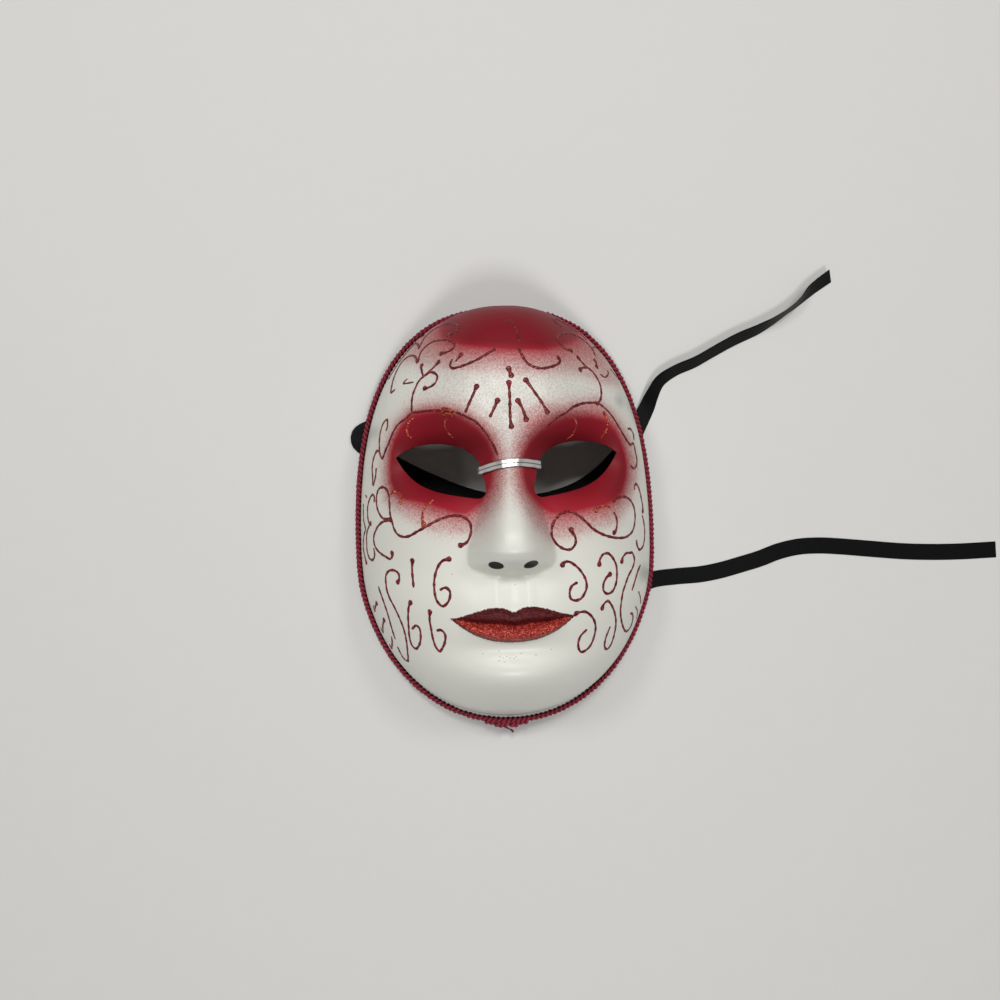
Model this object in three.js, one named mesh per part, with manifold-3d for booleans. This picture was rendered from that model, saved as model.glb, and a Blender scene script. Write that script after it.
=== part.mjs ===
// A full-face carnival mask lying face up: a thin moulded shell with eye and nostril holes, a braid round
// its rim, a foil tie round the bridge of the nose and two flat ribbons to tie it on with.
// Millimetres. +X is to the right of the face as it is looked at, +Y to the forehead, +Z out of the face.
// The origin is on the table, below the middle of the braid's outline.
import * as THREE from "three";
import { mergeVertices } from "three/addons/utils/BufferGeometryUtils.js";
import Module from "manifold-3d";

// Outline of the braid, in plan: its widest line, and how far it reaches from there
const WIDEST_Y = -17.5;
const BRAID_HALF_WIDTH = 87;
const BRAID_UP = 135.5;
const BRAID_DOWN = 100.5;
const FOREHEAD_ROUNDNESS = 2.5;
const JAW_ROUNDNESS = 2.1;

// Wall and braid
const WALL = 1.6;
const GAP = 0.3;
const BRAID_THICKNESS = 3.3;
const BRAID_HEIGHT = 4.4;
const BRAID_CHAMFER = 0.8;

// The rim rises towards the forehead and the chin, and a little where a ribbon passes below it
const FOREHEAD_LIFT = { from: 10, reach: 105, height: 9, power: 1.6 };
const CHIN_LIFT = { from: -60, reach: 57, height: 12, power: 2 };
const RIBBON_LIFT = { y: -41, half: 9.5, height: 1.25, power: 4 };

// Height of the face along its middle line, without the nose: [y, z]
const SPINE = [
  [-120, 64], [-95, 68], [-80, 69], [-62, 67], [-45, 68], [-25, 66],
  [0, 67], [22, 68], [45, 74], [70, 76], [100, 78], [125, 80],
];

// How full the dome is: the powers of its section to the side, at the forehead and at the chin
const SIDE_POWERS = [2, 2];
const FOREHEAD_FULLNESS = { powers: [3.2, 0.9], direction: 7, half: 36, taper: 2.2 };
const CHIN_FULLNESS = { powers: [3.2, -0.9], direction: 3 };

// Eye sockets: an oval hollow that is crisp at the brow and soft at the cheek
const SOCKET = { x: 35, y: 26, halfWidth: 32.5, narrow: 3, reach: 34.5, crop: 7, depth: 25, extra: 12 };
const SOCKET_TURN = { from: 8, over: 26, soft: 2.3, crisp: 0.95 };
const BROW = { height: 2.2, at: 1.08, half: 0.2, from: 30, over: 14 };
const CHEEK = { x: 50, y: -4, halfX: 22, halfY: 17, height: 3.5 };

// Nose: a broad body with its wings and a ridge on it, each as [y, height] and [y, half width]
const NOSE_BODY = [
  [-28.5, 0], [-26.5, 3], [-24.5, 9.5], [-22, 12.5], [-17, 12.5], [-10, 10.5], [0, 7], [12, 3.5], [26, 0],
];
const NOSE_HALF = [
  [-28.5, 15], [-27, 19], [-25, 21], [-22, 22.2], [-17, 22], [-10, 20], [0, 17], [10, 14.5], [26, 12],
];
const NOSE_RIDGE = [
  [-31, 0], [-29, 1.5], [-26, 3.5], [-23, 6.5], [-19.5, 11], [-15.5, 14], [-9, 15], [0, 14],
  [12, 10.5], [24, 6.5], [36, 2.5], [50, 0],
];
const RIDGE_HALF = [[-30, 11], [-15, 15], [-8, 13.5], [0, 11.5], [10, 9.5], [25, 8], [50, 9]];
const NOSE_SHAPE = { side: 2.8, edge: 1.1, ridge: 2.8, innerRidge: 0.6 };

// Mouth and chin
const MUZZLE = { y: -52, halfX: 30, halfY: 17, height: 4, power: 2.6 };
const LIPS = {
  half: 30.5, parting: -52.8, partingRise: 2.6, partingDip: 0.6,
  peakX: 8, peakY: -44.4, slope: 6, slopeOver: 26, bow: 2.4, bowHalf: 3.6,
  bottom: -62.4, bottomRise: 11.4, bottomPower: 2.2,
  upper: 3, lower: 4.4, groove: 1.5, grooveHalf: 1.6, fade: 14,
};
const PHILTRUM = { x: 8.2, half: 3, ridge: 0.8, groove: 0.7, grooveHalf: 4.5, top: -27, bottom: -50, soft: 6 };
const SULCUS = { y: -67.5, halfX: 24, halfY: 6.5, depth: 4 };
const CHIN = { y: -81, halfX: 24, halfY: 13, height: 4.5, power: 2.4 };

// Eye hole, on the right: corners and the two curve handles between each pair, in plan
const EYE = {
  outer: [58.5, 32], upper: [26, 36.4], inner: [13.2, 19.5], lower: [19, 9.6],
  outerToUpper: [51, 38.8, 38, 40.6],
  upperToInner: [17.2, 33.2, 13.4, 27],
  innerToLower: [10.4, 13, 12, 7.8],
  lowerToOuter: [37, 12.4, 50, 14.5],
};
const NOSTRIL = { x: 8.4, y: -22.9, halfX: 3.7, halfY: 2.1, turn: 0.18 };
const HOLE_TOP = 110;
const HOLE_BOTTOM = 20;

// Grid of the shell: rings from the middle out to each share of the way to the rim, finest at the mouth
const RAYS = 54;
const OUTER_ZONES = [
  { to: 0.252, rings: 7, rays: 2 * RAYS },
  { to: 0.47, rings: 12, rays: 2 * RAYS },
  { to: 0.93, rings: 11, rays: RAYS },
];
const INNER_ZONES = [{ to: 0.93, rings: 9, rays: RAYS }];
const RIM_RINGS = [0.96, 0.982, 0.995, 1];

// Foil tie: a flat band round the bridge of the nose
const TIE = {
  width: 4, thickness: 0.5, x: 0.4, y: 26.2, slope: 0.075, arch: 1.9, halfWidth: 15.45,
  stand: 0.7, sideLift: 0.8, sidePower: 3, back: 56.5, sag: 1, steps: 14,
};

// Ribbons: flat bands, from the end that is glued inside the wall to the cut end. A row is a point
// [x, y, z] of the middle line, where the band lies level across its route, or [x, y, z, heading, tilt],
// where its width points that way instead, in degrees
const RIBBON = { width: 9.6, thickness: 0.3, edge: 0.1, step: 16, twistStep: 9 };
const LEFT_ROUTE = [
  [-70.9, 54, 13, 76, 0], [-71.2, 54, 8, 78, 0], [-70.3, 54, 3.6, 88, 0], [-72.8, 53.6, 1],
  [-77, 52, 0.25], [-80.7, 50.5, 0.2, 113, 0], [-82.9, 48.7, 0.8, 145, 8], [-83.7, 46.3, 1, 175, 10],
  [-83.2, 43.7, 0.8, 207, 8], [-81.2, 41.6, 0.2, 240, 0], [-77, 39, 0.16], [-72.5, 36.4, 0.15], [-63.5, 30.6, 0.15],
  [-51, 23.9, 0.15], [-36, 16.8, 0.15], [-20, 10.6, 0.15], [-4, 6.9, 0.15], [12, 6.1, 0.15], [28, 8.2, 0.15],
  [43, 13.2, 0.15], [55, 20.6, 0.15], [64.5, 29.2, 0.15], [72, 37.2, 0.15], [76.8, 43.8, 0.15], [80.6, 51.4, 0.2],
  [84.8, 60, 0.95, -27, -9], [88.3, 68, 2.55, -26, -30], [92.8, 75.6, 3.4, -42, -42], [101.7, 81.4, 3.92, -56, -52],
  [113.6, 86.2, 4.02, -65, -54], [124.4, 92, 4.02, -63, -54], [137.9, 98.9, 4.02, -64, -54],
  [152, 104.8, 4.25, -65, -59], [160.5, 109.2, 4.58, -60, -68], [169.4, 115, 4.73, -56, -74],
  [176, 120, 4.58, -51, -68], [183.8, 127.3, 3.8, -49, -50], [190.6, 132.2, 3.6, -52, -46],
  [195.7, 135.6, 3.5, -54, -44],
];
const RIGHT_ROUTE = [
  [77.3, 25, 13, 96, 0], [77.7, 25, 8, 97, 0], [76.8, 24.7, 3.6, 108, 0], [75.4, 22.9, 1],
  [71.8, 19.6, 0.18], [67, 15, 0.15], [58, 5.4, 0.15], [48, -4, 0.15], [38.4, -15, 0.15], [32.2, -28, 0.15],
  [34, -41.4, 0.15], [44.2, -50.8, 0.15], [58.4, -52, 0.15], [72, -46.6, 0.15], [86, -41, 0.15],
  [100, -39.4, 0.15], [114.3, -38.6, 0.15], [126.6, -36.6, 0.15], [138.5, -33.6, 0.15], [150.3, -30.4, 0.15],
  [161.8, -26.4, 0.15], [173.8, -24, 0.15], [186, -23.6, 0.15], [197.8, -24.4, 0.15], [218.5, -26.6, 0.15],
  [236, -28.4, 0.15], [254, -29.4, 0.15], [272, -29.6, 0.15], [294, -29, 0.15],
];

const COLOURS = {
  plastic: { color: 0xd9dcd6, roughness: 0.32, metalness: 0 },
  braid: { color: 0x7c1a2c, roughness: 0.85, metalness: 0 },
  foil: { color: 0xd6d2c8, roughness: 0.25, metalness: 0.9 },
  satin: { color: 0x0c0c0e, roughness: 0.45, metalness: 0 },
};

const wasm = await Module();
wasm.setup();

const clamp = (t) => Math.min(1, Math.max(0, t));
const smooth = (t) => clamp(t) ** 2 * (3 - 2 * clamp(t));
const bell = (t, power = 2) => Math.exp(-(Math.abs(t) ** power));

// Smooth curve through [position, value] pairs that never overshoots them
function through(knots) {
  const n = knots.length;
  const gap = (i) => knots[i + 1][0] - knots[i][0];
  const rise = (i) => (knots[i + 1][1] - knots[i][1]) / gap(i);
  const slopes = knots.map((_, i) => {
    if (i === 0) return rise(0);
    if (i === n - 1) return rise(n - 2);
    if (rise(i - 1) * rise(i) <= 0) return 0;
    const before = 2 * gap(i) + gap(i - 1);
    const after = gap(i) + 2 * gap(i - 1);
    return (before + after) / (before / rise(i - 1) + after / rise(i));
  });
  return (at) => {
    const place = Math.min(knots[n - 1][0], Math.max(knots[0][0], at));
    let i = 0;
    while (i < n - 2 && place > knots[i + 1][0]) i += 1;
    const h = gap(i);
    const t = (place - knots[i][0]) / h;
    const s = 1 - t;
    return (
      knots[i][1] * (1 + 2 * t) * s * s + slopes[i] * h * t * s * s +
      knots[i + 1][1] * t * t * (3 - 2 * t) + slopes[i + 1] * h * t * t * (t - 1)
    );
  };
}

const spine = through(SPINE);
const noseBody = through(NOSE_BODY);
const noseHalf = through(NOSE_HALF);
const noseRidge = through(NOSE_RIDGE);
const ridgeHalf = through(RIDGE_HALF);

// How far the rim stands above the table at y
function rimLift(y) {
  const forehead = clamp((y - FOREHEAD_LIFT.from) / FOREHEAD_LIFT.reach) ** FOREHEAD_LIFT.power;
  const chin = clamp((CHIN_LIFT.from - y) / CHIN_LIFT.reach) ** CHIN_LIFT.power;
  const ribbon = bell((y - RIBBON_LIFT.y) / RIBBON_LIFT.half, RIBBON_LIFT.power);
  return FOREHEAD_LIFT.height * forehead + CHIN_LIFT.height * chin + RIBBON_LIFT.height * ribbon;
}

// Where (x, y) lies in the outline that is inset from the braid's: 0 in the middle, 1 on the outline
function gauge(x, y, inset) {
  const above = y > WIDEST_Y;
  const power = above ? FOREHEAD_ROUNDNESS : JAW_ROUNDNESS;
  const across = Math.abs(x) / (BRAID_HALF_WIDTH - inset);
  const along = Math.abs(y - WIDEST_Y) / ((above ? BRAID_UP : BRAID_DOWN) - inset);
  const reach = (across ** power + along ** power) ** (1 / power);
  const direction = reach > 1e-6 ? (Math.sign(y - WIDEST_Y) * along) / reach : 0;
  return { reach, direction };
}

// Inset of the shell's outer face from the braid's outline
const SHELL_INSET = BRAID_THICKNESS + GAP;

function dome(x, y, inner) {
  const { reach, direction } = gauge(x, y, SHELL_INSET + inner);
  const up = clamp(direction) ** FOREHEAD_FULLNESS.direction *
    bell(x / FOREHEAD_FULLNESS.half, FOREHEAD_FULLNESS.taper);
  const down = clamp(-direction) ** CHIN_FULLNESS.direction;
  const [first, second] = SIDE_POWERS.map(
    (power, i) => power + FOREHEAD_FULLNESS.powers[i] * up + CHIN_FULLNESS.powers[i] * down,
  );
  const low = rimLift(y);
  return low + (spine(y) - inner - low) * clamp(1 - clamp(reach) ** first) ** (1 / second);
}

function socket(ax, y) {
  const high = smooth((y - SOCKET_TURN.from) / SOCKET_TURN.over);
  const across = (ax - SOCKET.x) / (SOCKET.halfWidth - SOCKET.narrow * high);
  const along = (y - SOCKET.y) / (SOCKET.reach - SOCKET.crop * high);
  const ring = Math.hypot(across, along);
  const hollow = clamp(1 - ring) ** (SOCKET_TURN.soft - SOCKET_TURN.crisp * high);
  const brow = bell((ring - BROW.at) / BROW.half) * smooth((y - BROW.from) / BROW.over);
  return BROW.height * brow - (SOCKET.depth + SOCKET.extra * high) * hollow;
}

function nose(ax, y, inner) {
  const side = clamp(ax / (noseHalf(y) - inner));
  const body = noseBody(y) * (1 - side ** NOSE_SHAPE.side) ** NOSE_SHAPE.edge;
  const half = ridgeHalf(y) - NOSE_SHAPE.innerRidge * inner;
  return body + noseRidge(y) * bell(ax / half, NOSE_SHAPE.ridge);
}

function lips(ax, y) {
  const out = ax / LIPS.half;
  const parting = LIPS.parting + LIPS.partingRise * out * out - LIPS.partingDip * bell(ax / 5);
  const fall = LIPS.slope * smooth((ax - LIPS.peakX) / LIPS.slopeOver);
  const top = LIPS.peakY - fall - LIPS.bow * bell(ax / LIPS.bowHalf);
  const bottom = LIPS.bottom + LIPS.bottomRise * clamp(out) ** LIPS.bottomPower;
  const upper = clamp((y - parting) / Math.max(top - parting, 0.3));
  const lower = clamp((parting - y) / Math.max(parting - bottom, 0.3));
  const roll = y > parting
    ? LIPS.upper * Math.max(0, Math.sin(Math.PI * upper)) ** 0.8
    : LIPS.lower * Math.max(0, Math.sin(Math.PI * lower)) ** 0.8;
  const groove = LIPS.groove * bell((y - parting) / LIPS.grooveHalf);
  return smooth((LIPS.half + 1 - ax) / LIPS.fade) * (roll - groove);
}

function philtrum(ax, y) {
  const run = smooth((y - PHILTRUM.bottom) / PHILTRUM.soft) * smooth((PHILTRUM.top - y) / PHILTRUM.soft);
  const ridges = PHILTRUM.ridge * bell((ax - PHILTRUM.x) / PHILTRUM.half);
  return run * (ridges - PHILTRUM.groove * bell(ax / PHILTRUM.grooveHalf));
}

// Height of the face at (x, y): its outer side, or its plainer inner side when inner is the wall
function faceHeight(x, y, inner = 0) {
  const ax = Math.abs(x);
  const cheek = CHEEK.height * bell((ax - CHEEK.x) / CHEEK.halfX) * bell((y - CHEEK.y) / CHEEK.halfY);
  const muzzle = MUZZLE.height * bell(Math.hypot(ax / MUZZLE.halfX, (y - MUZZLE.y) / MUZZLE.halfY), MUZZLE.power);
  const sulcus = SULCUS.depth * bell(ax / SULCUS.halfX) * bell((y - SULCUS.y) / SULCUS.halfY);
  const chin = CHIN.height * bell(ax / CHIN.halfX, CHIN.power) * bell((y - CHIN.y) / CHIN.halfY);
  const broad = dome(x, y, inner) + socket(ax, y) + nose(ax, y, inner) + cheek + muzzle - sulcus + chin;
  return inner > 0 ? broad : broad + lips(ax, y) + philtrum(ax, y);
}

// A geometry from points and a list of corner numbers
function geometryOf(points, corners) {
  const geometry = new THREE.BufferGeometry();
  geometry.setAttribute("position", new THREE.Float32BufferAttribute(points.flat(), 3));
  geometry.setIndex(corners);
  return geometry;
}

function solidOf(geometry) {
  const bare = new THREE.BufferGeometry();
  bare.setAttribute("position", geometry.getAttribute("position"));
  bare.setIndex(geometry.index);
  const merged = mergeVertices(bare, 1e-4);
  return new wasm.Manifold(
    new wasm.Mesh({
      numProp: 3,
      vertProperties: merged.attributes.position.array,
      triVerts: new Uint32Array(merged.index.array),
    }),
  );
}

function geometryFrom(solid) {
  const { vertProperties, triVerts } = solid.getMesh();
  const geometry = new THREE.BufferGeometry();
  geometry.setAttribute("position", new THREE.BufferAttribute(vertProperties, 3));
  geometry.setIndex(new THREE.BufferAttribute(triVerts, 1));
  return geometry;
}

// Point on the ray at angle turn, at the share reach of the way to the outline with that inset
function onRay(turn, reach, inset) {
  const dx = Math.cos(turn);
  const dy = Math.sin(turn);
  const full = gauge(dx, WIDEST_Y + dy, inset).reach;
  return [(dx * reach) / full, WIDEST_Y + (dy * reach) / full];
}

// The rings of a face, from the middle out, each with its number of rays
function ringsOf(zones) {
  const rings = [];
  let from = 0;
  for (const { to, rings: count, rays } of zones) {
    for (let i = 1; i <= count; i += 1) rings.push({ reach: from + ((to - from) * i) / count, rays });
    from = to;
  }
  return [...rings, ...RIM_RINGS.map((reach) => ({ reach, rays: RAYS }))];
}

// One face of the shell: rings of points round a middle point, and its triangles facing up
function faceRings(zones, inner) {
  const points = [[0, WIDEST_Y, faceHeight(0, WIDEST_Y, inner)]];
  const corners = [];
  let last = { first: 0, rays: 1 };
  const fault = (a, b) => {
    const [x, y, z] = points[a].map((value, i) => (value + points[b][i]) / 2);
    return Math.abs(faceHeight(x, y, inner) - z);
  };
  for (const { reach, rays } of ringsOf(zones)) {
    const first = points.length;
    for (let ray = 0; ray < rays; ray += 1) {
      const [x, y] = onRay((2 * Math.PI * ray) / rays, reach, SHELL_INSET + inner);
      points.push([x, y, reach === 1 ? rimLift(y) : faceHeight(x, y, inner)]);
    }
    const finer = last.rays / rays;
    for (let ray = 0; ray < rays; ray += 1) {
      const [b, c] = [first + ray, first + ((ray + 1) % rays)];
      const a = last.first + (finer < 1 ? 0 : finer * ray);
      const d = last.first + (finer < 1 ? 0 : (finer * (ray + 1)) % last.rays);
      if (finer < 1) {
        corners.push(a, b, c);
      } else if (finer > 1) {
        corners.push(a, b, a + 1, a + 1, b, c, a + 1, c, d);
      } else if (fault(a, c) < fault(b, d)) {
        corners.push(a, b, c, a, c, d);
      } else {
        corners.push(a, b, d, b, c, d);
      }
    }
    last = { first, rays };
  }
  return { points, corners, rim: last.first };
}

function plainShell() {
  const outer = faceRings(OUTER_ZONES, 0);
  const inner = faceRings(INNER_ZONES, WALL);
  const shift = outer.points.length;
  const corners = [...outer.corners];
  for (let i = 0; i < inner.corners.length; i += 3) {
    const [a, b, c] = inner.corners.slice(i, i + 3);
    corners.push(shift + a, shift + c, shift + b);
  }
  for (let ray = 0; ray < RAYS; ray += 1) {
    const next = (ray + 1) % RAYS;
    const [a, b] = [outer.rim + ray, outer.rim + next];
    const [c, d] = [shift + inner.rim + ray, shift + inner.rim + next];
    corners.push(a, c, d, a, d, b);
  }
  return geometryOf([...outer.points, ...inner.points], corners);
}

function eyeOutline(side) {
  const shape = new THREE.Shape();
  const curve = (handles, end) =>
    shape.bezierCurveTo(side * handles[0], handles[1], side * handles[2], handles[3], side * end[0], end[1]);
  shape.moveTo(side * EYE.outer[0], EYE.outer[1]);
  curve(EYE.outerToUpper, EYE.upper);
  curve(EYE.upperToInner, EYE.inner);
  curve(EYE.innerToLower, EYE.lower);
  curve(EYE.lowerToOuter, EYE.outer);
  return shape;
}

function nostrilOutline(side) {
  const shape = new THREE.Shape();
  shape.absellipse(side * NOSTRIL.x, NOSTRIL.y, NOSTRIL.halfX, NOSTRIL.halfY, 0, 2 * Math.PI, false, -side * NOSTRIL.turn);
  return shape;
}

// Upright cutter through the wall with the given outline
function cutter(shape, curveSegments) {
  const options = { depth: HOLE_TOP - HOLE_BOTTOM, bevelEnabled: false, steps: 1, curveSegments };
  const geometry = new THREE.ExtrudeGeometry(shape, options);
  geometry.deleteAttribute("normal");
  geometry.deleteAttribute("uv");
  return solidOf(mergeVertices(geometry.translate(0, 0, HOLE_BOTTOM), 1e-4));
}

function maskShell() {
  const holes = [1, -1].flatMap((side) => [cutter(eyeOutline(side), 7), cutter(nostrilOutline(side), 5)]);
  return geometryFrom(holes.reduce((solid, hole) => solid.subtract(hole), solidOf(plainShell())));
}

// Sweep of a closed section [across, over] along frames {at, across, over}; open ends are capped. Both
// faces of a thin band are split along the same diagonal, so that they stay apart where the band twists
function sweep(frames, section, closed) {
  const points = frames.flatMap(({ at, across, over }) =>
    section.map(([a, o]) => at.clone().addScaledVector(across, a).addScaledVector(over, o).toArray()),
  );
  const sides = section.length;
  const corners = [];
  const spans = closed ? frames.length : frames.length - 1;
  for (let i = 0; i < spans; i += 1) {
    const next = (i + 1) % frames.length;
    for (let k = 0; k < sides; k += 1) {
      const l = (k + 1) % sides;
      const [a, b, c, d] = [i * sides + k, i * sides + l, next * sides + l, next * sides + k];
      if (section[l][0] < section[k][0]) {
        corners.push(a, b, d, b, c, d);
      } else {
        corners.push(a, b, c, a, c, d);
      }
    }
  }
  if (!closed) {
    const last = (frames.length - 1) * sides;
    for (let k = 1; k < sides - 1; k += 1) {
      corners.push(0, k + 1, k);
      corners.push(last, last + k, last + k + 1);
    }
  }
  return geometryOf(points, corners);
}

// The braid: a bevelled band that stands on the same rim line as the shell, round the outside of it
function edgeBraid() {
  const up = new THREE.Vector3(0, 0, 1);
  const frames = [];
  for (let i = 0; i < RAYS; i += 1) {
    const turn = (-2 * Math.PI * i) / RAYS;
    const [x, y] = onRay(turn, 1, 0);
    const [ahead, behind] = [onRay(turn + 0.01, 1, 0), onRay(turn - 0.01, 1, 0)];
    const across = new THREE.Vector3(ahead[1] - behind[1], behind[0] - ahead[0], 0).normalize();
    frames.push({ at: new THREE.Vector3(x, y, rimLift(y)), across, over: up });
  }
  const [inside, c, h] = [-BRAID_THICKNESS, BRAID_CHAMFER, BRAID_HEIGHT];
  const section = [[inside, 0], [-c, 0], [0, c], [0, h - c], [-c, h], [inside, h]];
  return sweep(frames, section, true);
}

// The foil tie: over the bridge, down through both eye holes and closed behind the bridge
function bridgeTie() {
  const half = TIE.width / 2;
  const front = [];
  const back = [];
  for (let i = 0; i <= TIE.steps; i += 1) {
    const share = 1 - (2 * i) / TIE.steps;
    const x = TIE.x + TIE.halfWidth * share;
    const y = TIE.y + TIE.slope * x - TIE.arch * share * share;
    const [high, low] = [faceHeight(x, y + half), faceHeight(x, y - half)];
    const side = TIE.sideLift * Math.abs(share) ** TIE.sidePower;
    front.push({
      at: new THREE.Vector3(x, y, (high + low) / 2 + TIE.stand + TIE.thickness / 2 + side),
      across: new THREE.Vector3(0, TIE.width, high - low).normalize(),
    });
    back.unshift({
      at: new THREE.Vector3(x, y, TIE.back - TIE.sag * (1 - share ** 4)),
      across: new THREE.Vector3(0, 1, 0),
    });
  }
  const loop = [...front, ...back];
  const frames = loop.map(({ at, across }, i) => {
    const ahead = loop[(i + 1) % loop.length].at;
    const behind = loop[(i + loop.length - 1) % loop.length].at;
    const over = ahead.clone().sub(behind).cross(across).normalize();
    return { at, across, over };
  });
  const thick = TIE.thickness / 2;
  return sweep(frames, [[-half, -thick], [half, -thick], [half, thick], [-half, thick]], true);
}

// A flat band along a route: it passes through every row, with steps no longer than the ribbon's own step
function ribbon(route) {
  const up = new THREE.Vector3(0, 0, 1);
  const turn = (degrees) => THREE.MathUtils.degToRad(degrees);
  const curve = (points) => new THREE.CatmullRomCurve3(points, false, "centripetal");
  const line = curve(route.map(([x, y, z]) => new THREE.Vector3(x, y, z)));
  const spans = route.length - 1;
  let last = null;
  const widths = route.map(([, , , heading, tilt], i) => {
    const width = heading === undefined
      ? up.clone().cross(line.getTangent(i / spans)).normalize()
      : new THREE.Vector3(Math.cos(turn(heading)), Math.sin(turn(heading)), Math.tan(turn(tilt))).normalize();
    if (last && width.dot(last) < 0) width.negate();
    last = width;
    return width;
  });
  const aims = curve(widths);
  const frames = [];
  const addFrame = (share) => {
    const tangent = line.getTangent(share);
    const across = aims.getPoint(share).normalize();
    const over = tangent.clone().cross(across);
    frames.push({ at: line.getPoint(share), across: across.divideScalar(over.length()), over: over.normalize() });
  };
  addFrame(0);
  for (let i = 0; i < spans; i += 1) {
    const [from, to] = [line.points[i], line.points[i + 1]];
    const pieces = Math.ceil(from.distanceTo(to) / (route[i + 1].length > 3 ? RIBBON.twistStep : RIBBON.step));
    for (let k = 1; k <= pieces; k += 1) addFrame((i + k / pieces) / spans);
  }
  const [w, t, e] = [RIBBON.width / 2, RIBBON.thickness / 2, RIBBON.edge];
  const section = [[-w, e / 2], [-w, -e / 2], [-w + e, -t], [w - e, -t], [w, -e / 2], [w, e / 2], [w - e, t], [-w + e, t]];
  return sweep(frames, section, false);
}

const mask = new THREE.Group();

function addPiece(name, geometry, look) {
  const piece = new THREE.Mesh(geometry, new THREE.MeshStandardMaterial(look));
  piece.name = name;
  mask.add(piece);
}

addPiece("mask_shell", maskShell(), COLOURS.plastic);
addPiece("edge_braid", edgeBraid(), COLOURS.braid);
addPiece("bridge_tie", bridgeTie(), COLOURS.foil);
addPiece("left_ribbon", ribbon(LEFT_ROUTE), COLOURS.satin);
addPiece("right_ribbon", ribbon(RIGHT_ROUTE), COLOURS.satin);

export default mask;
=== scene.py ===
"""Looks of a full-face carnival mask that lies face up on a pale table.

A white moulded shell with airbrushed crimson round the eyes and on the forehead, glitter scrolls and
glitter lips, a crimson plait round the edge, a foil tie over the bridge of the nose and two black satin
ribbons. Lengths in the sizes below are millimetres; meshes are made in metres.
"""

import logging
import math
from dataclasses import dataclass
from enum import Enum
from typing import Callable, Sequence

import bmesh
import bpy
import numpy as np
from mathutils import Matrix, Vector


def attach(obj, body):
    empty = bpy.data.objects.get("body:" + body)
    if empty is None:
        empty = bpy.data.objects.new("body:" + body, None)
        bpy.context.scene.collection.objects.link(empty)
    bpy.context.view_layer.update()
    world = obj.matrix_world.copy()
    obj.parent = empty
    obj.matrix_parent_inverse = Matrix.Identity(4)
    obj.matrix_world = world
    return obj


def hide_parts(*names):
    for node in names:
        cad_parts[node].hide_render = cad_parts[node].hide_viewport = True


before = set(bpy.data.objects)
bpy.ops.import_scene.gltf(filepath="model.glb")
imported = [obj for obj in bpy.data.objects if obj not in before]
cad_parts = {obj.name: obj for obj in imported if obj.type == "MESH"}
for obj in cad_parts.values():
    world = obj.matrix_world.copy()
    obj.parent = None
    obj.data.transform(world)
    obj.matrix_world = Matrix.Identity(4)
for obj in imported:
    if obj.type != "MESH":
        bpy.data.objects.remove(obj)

LOG = logging.getLogger("mask")
MM = 0.001
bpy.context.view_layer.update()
Array = np.ndarray
Material = bpy.types.Material
Object = bpy.types.Object
Socket = bpy.types.NodeSocket
Point = tuple[float, float]
Triple = tuple[float, float, float]
Colour = tuple[float, float, float]
Stops = tuple[tuple[float, Colour], ...]


def clamp(value: Array) -> Array:
    """Value held between 0 and 1."""
    return np.clip(value, 0.0, 1.0)


def smooth(value: Array) -> Array:
    """Soft step from 0 to 1 while value goes from 0 to 1."""
    held = clamp(value)
    return held * held * (3 - 2 * held)


def bell(value: Array, power: float = 2.0) -> Array:
    """Bell that is 1 at 0; a higher power makes its top flatter."""
    return np.exp(-np.abs(value) ** power)


class Through:
    """Smooth curve through (position, value) pairs that never overshoots them."""

    def __init__(self, knots: Sequence[Point]) -> None:
        """Works out the slopes at the knots.

        Args:
            knots: Pairs of position and value, in rising order of position.
        """
        self.at, self.value = np.array(knots, dtype=float).T
        gap = np.diff(self.at)
        rise = np.diff(self.value) / gap
        self.slope = np.zeros(len(self.at))
        self.slope[0], self.slope[-1] = rise[0], rise[-1]
        for i in range(1, len(self.at) - 1):
            if rise[i - 1] * rise[i] > 0:
                before, after = 2 * gap[i] + gap[i - 1], gap[i] + 2 * gap[i - 1]
                self.slope[i] = (before + after) / (before / rise[i - 1] + after / rise[i])

    def __call__(self, place: Array) -> Array:
        """Value of the curve at place.

        Args:
            place: Positions, held between the first and the last knot.

        Returns:
            The curve's values there.
        """
        place = np.clip(place, self.at[0], self.at[-1])
        i = np.clip(np.searchsorted(self.at, place, side="left") - 1, 0, len(self.at) - 2)
        h = self.at[i + 1] - self.at[i]
        t = (place - self.at[i]) / h
        s = 1 - t
        start = self.value[i] * (1 + 2 * t) * s * s + self.slope[i] * h * t * s * s
        end = self.value[i + 1] * t * t * (3 - 2 * t) + self.slope[i + 1] * h * t * t * (t - 1)
        return start + end


def spline(points: Array, spans: Array) -> tuple[Array, Array]:
    """Centripetal curve through points.

    Args:
        points: The points, one row each.
        spans: Places along it, where the whole part is the number of the span.

    Returns:
        The curve's points there, and its directions.
    """
    first = 2 * points[0] - points[1]
    last = 2 * points[-1] - points[-2]
    padded = np.vstack([first, points, last])
    step = np.sqrt(np.linalg.norm(np.diff(padded, axis=0), axis=1))
    same_place = 1e-4
    step = np.where(step < same_place, 1.0, step)
    i = np.clip(np.floor(spans).astype(int), 0, len(points) - 2)
    t = (spans - i)[:, None]
    p0, p1, p2, p3 = (padded[i + k] for k in range(4))
    d0, d1, d2 = (step[i + k][:, None] for k in range(3))
    leave = ((p1 - p0) / d0 - (p2 - p0) / (d0 + d1) + (p2 - p1) / d1) * d1
    arrive = ((p2 - p1) / d1 - (p3 - p1) / (d1 + d2) + (p3 - p2) / d2) * d1
    square = -3 * p1 + 3 * p2 - 2 * leave - arrive
    cube = 2 * p1 - 2 * p2 + leave + arrive
    place = p1 + leave * t + square * t**2 + cube * t**3
    return place, leave + 2 * square * t + 3 * cube * t**2


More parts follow.
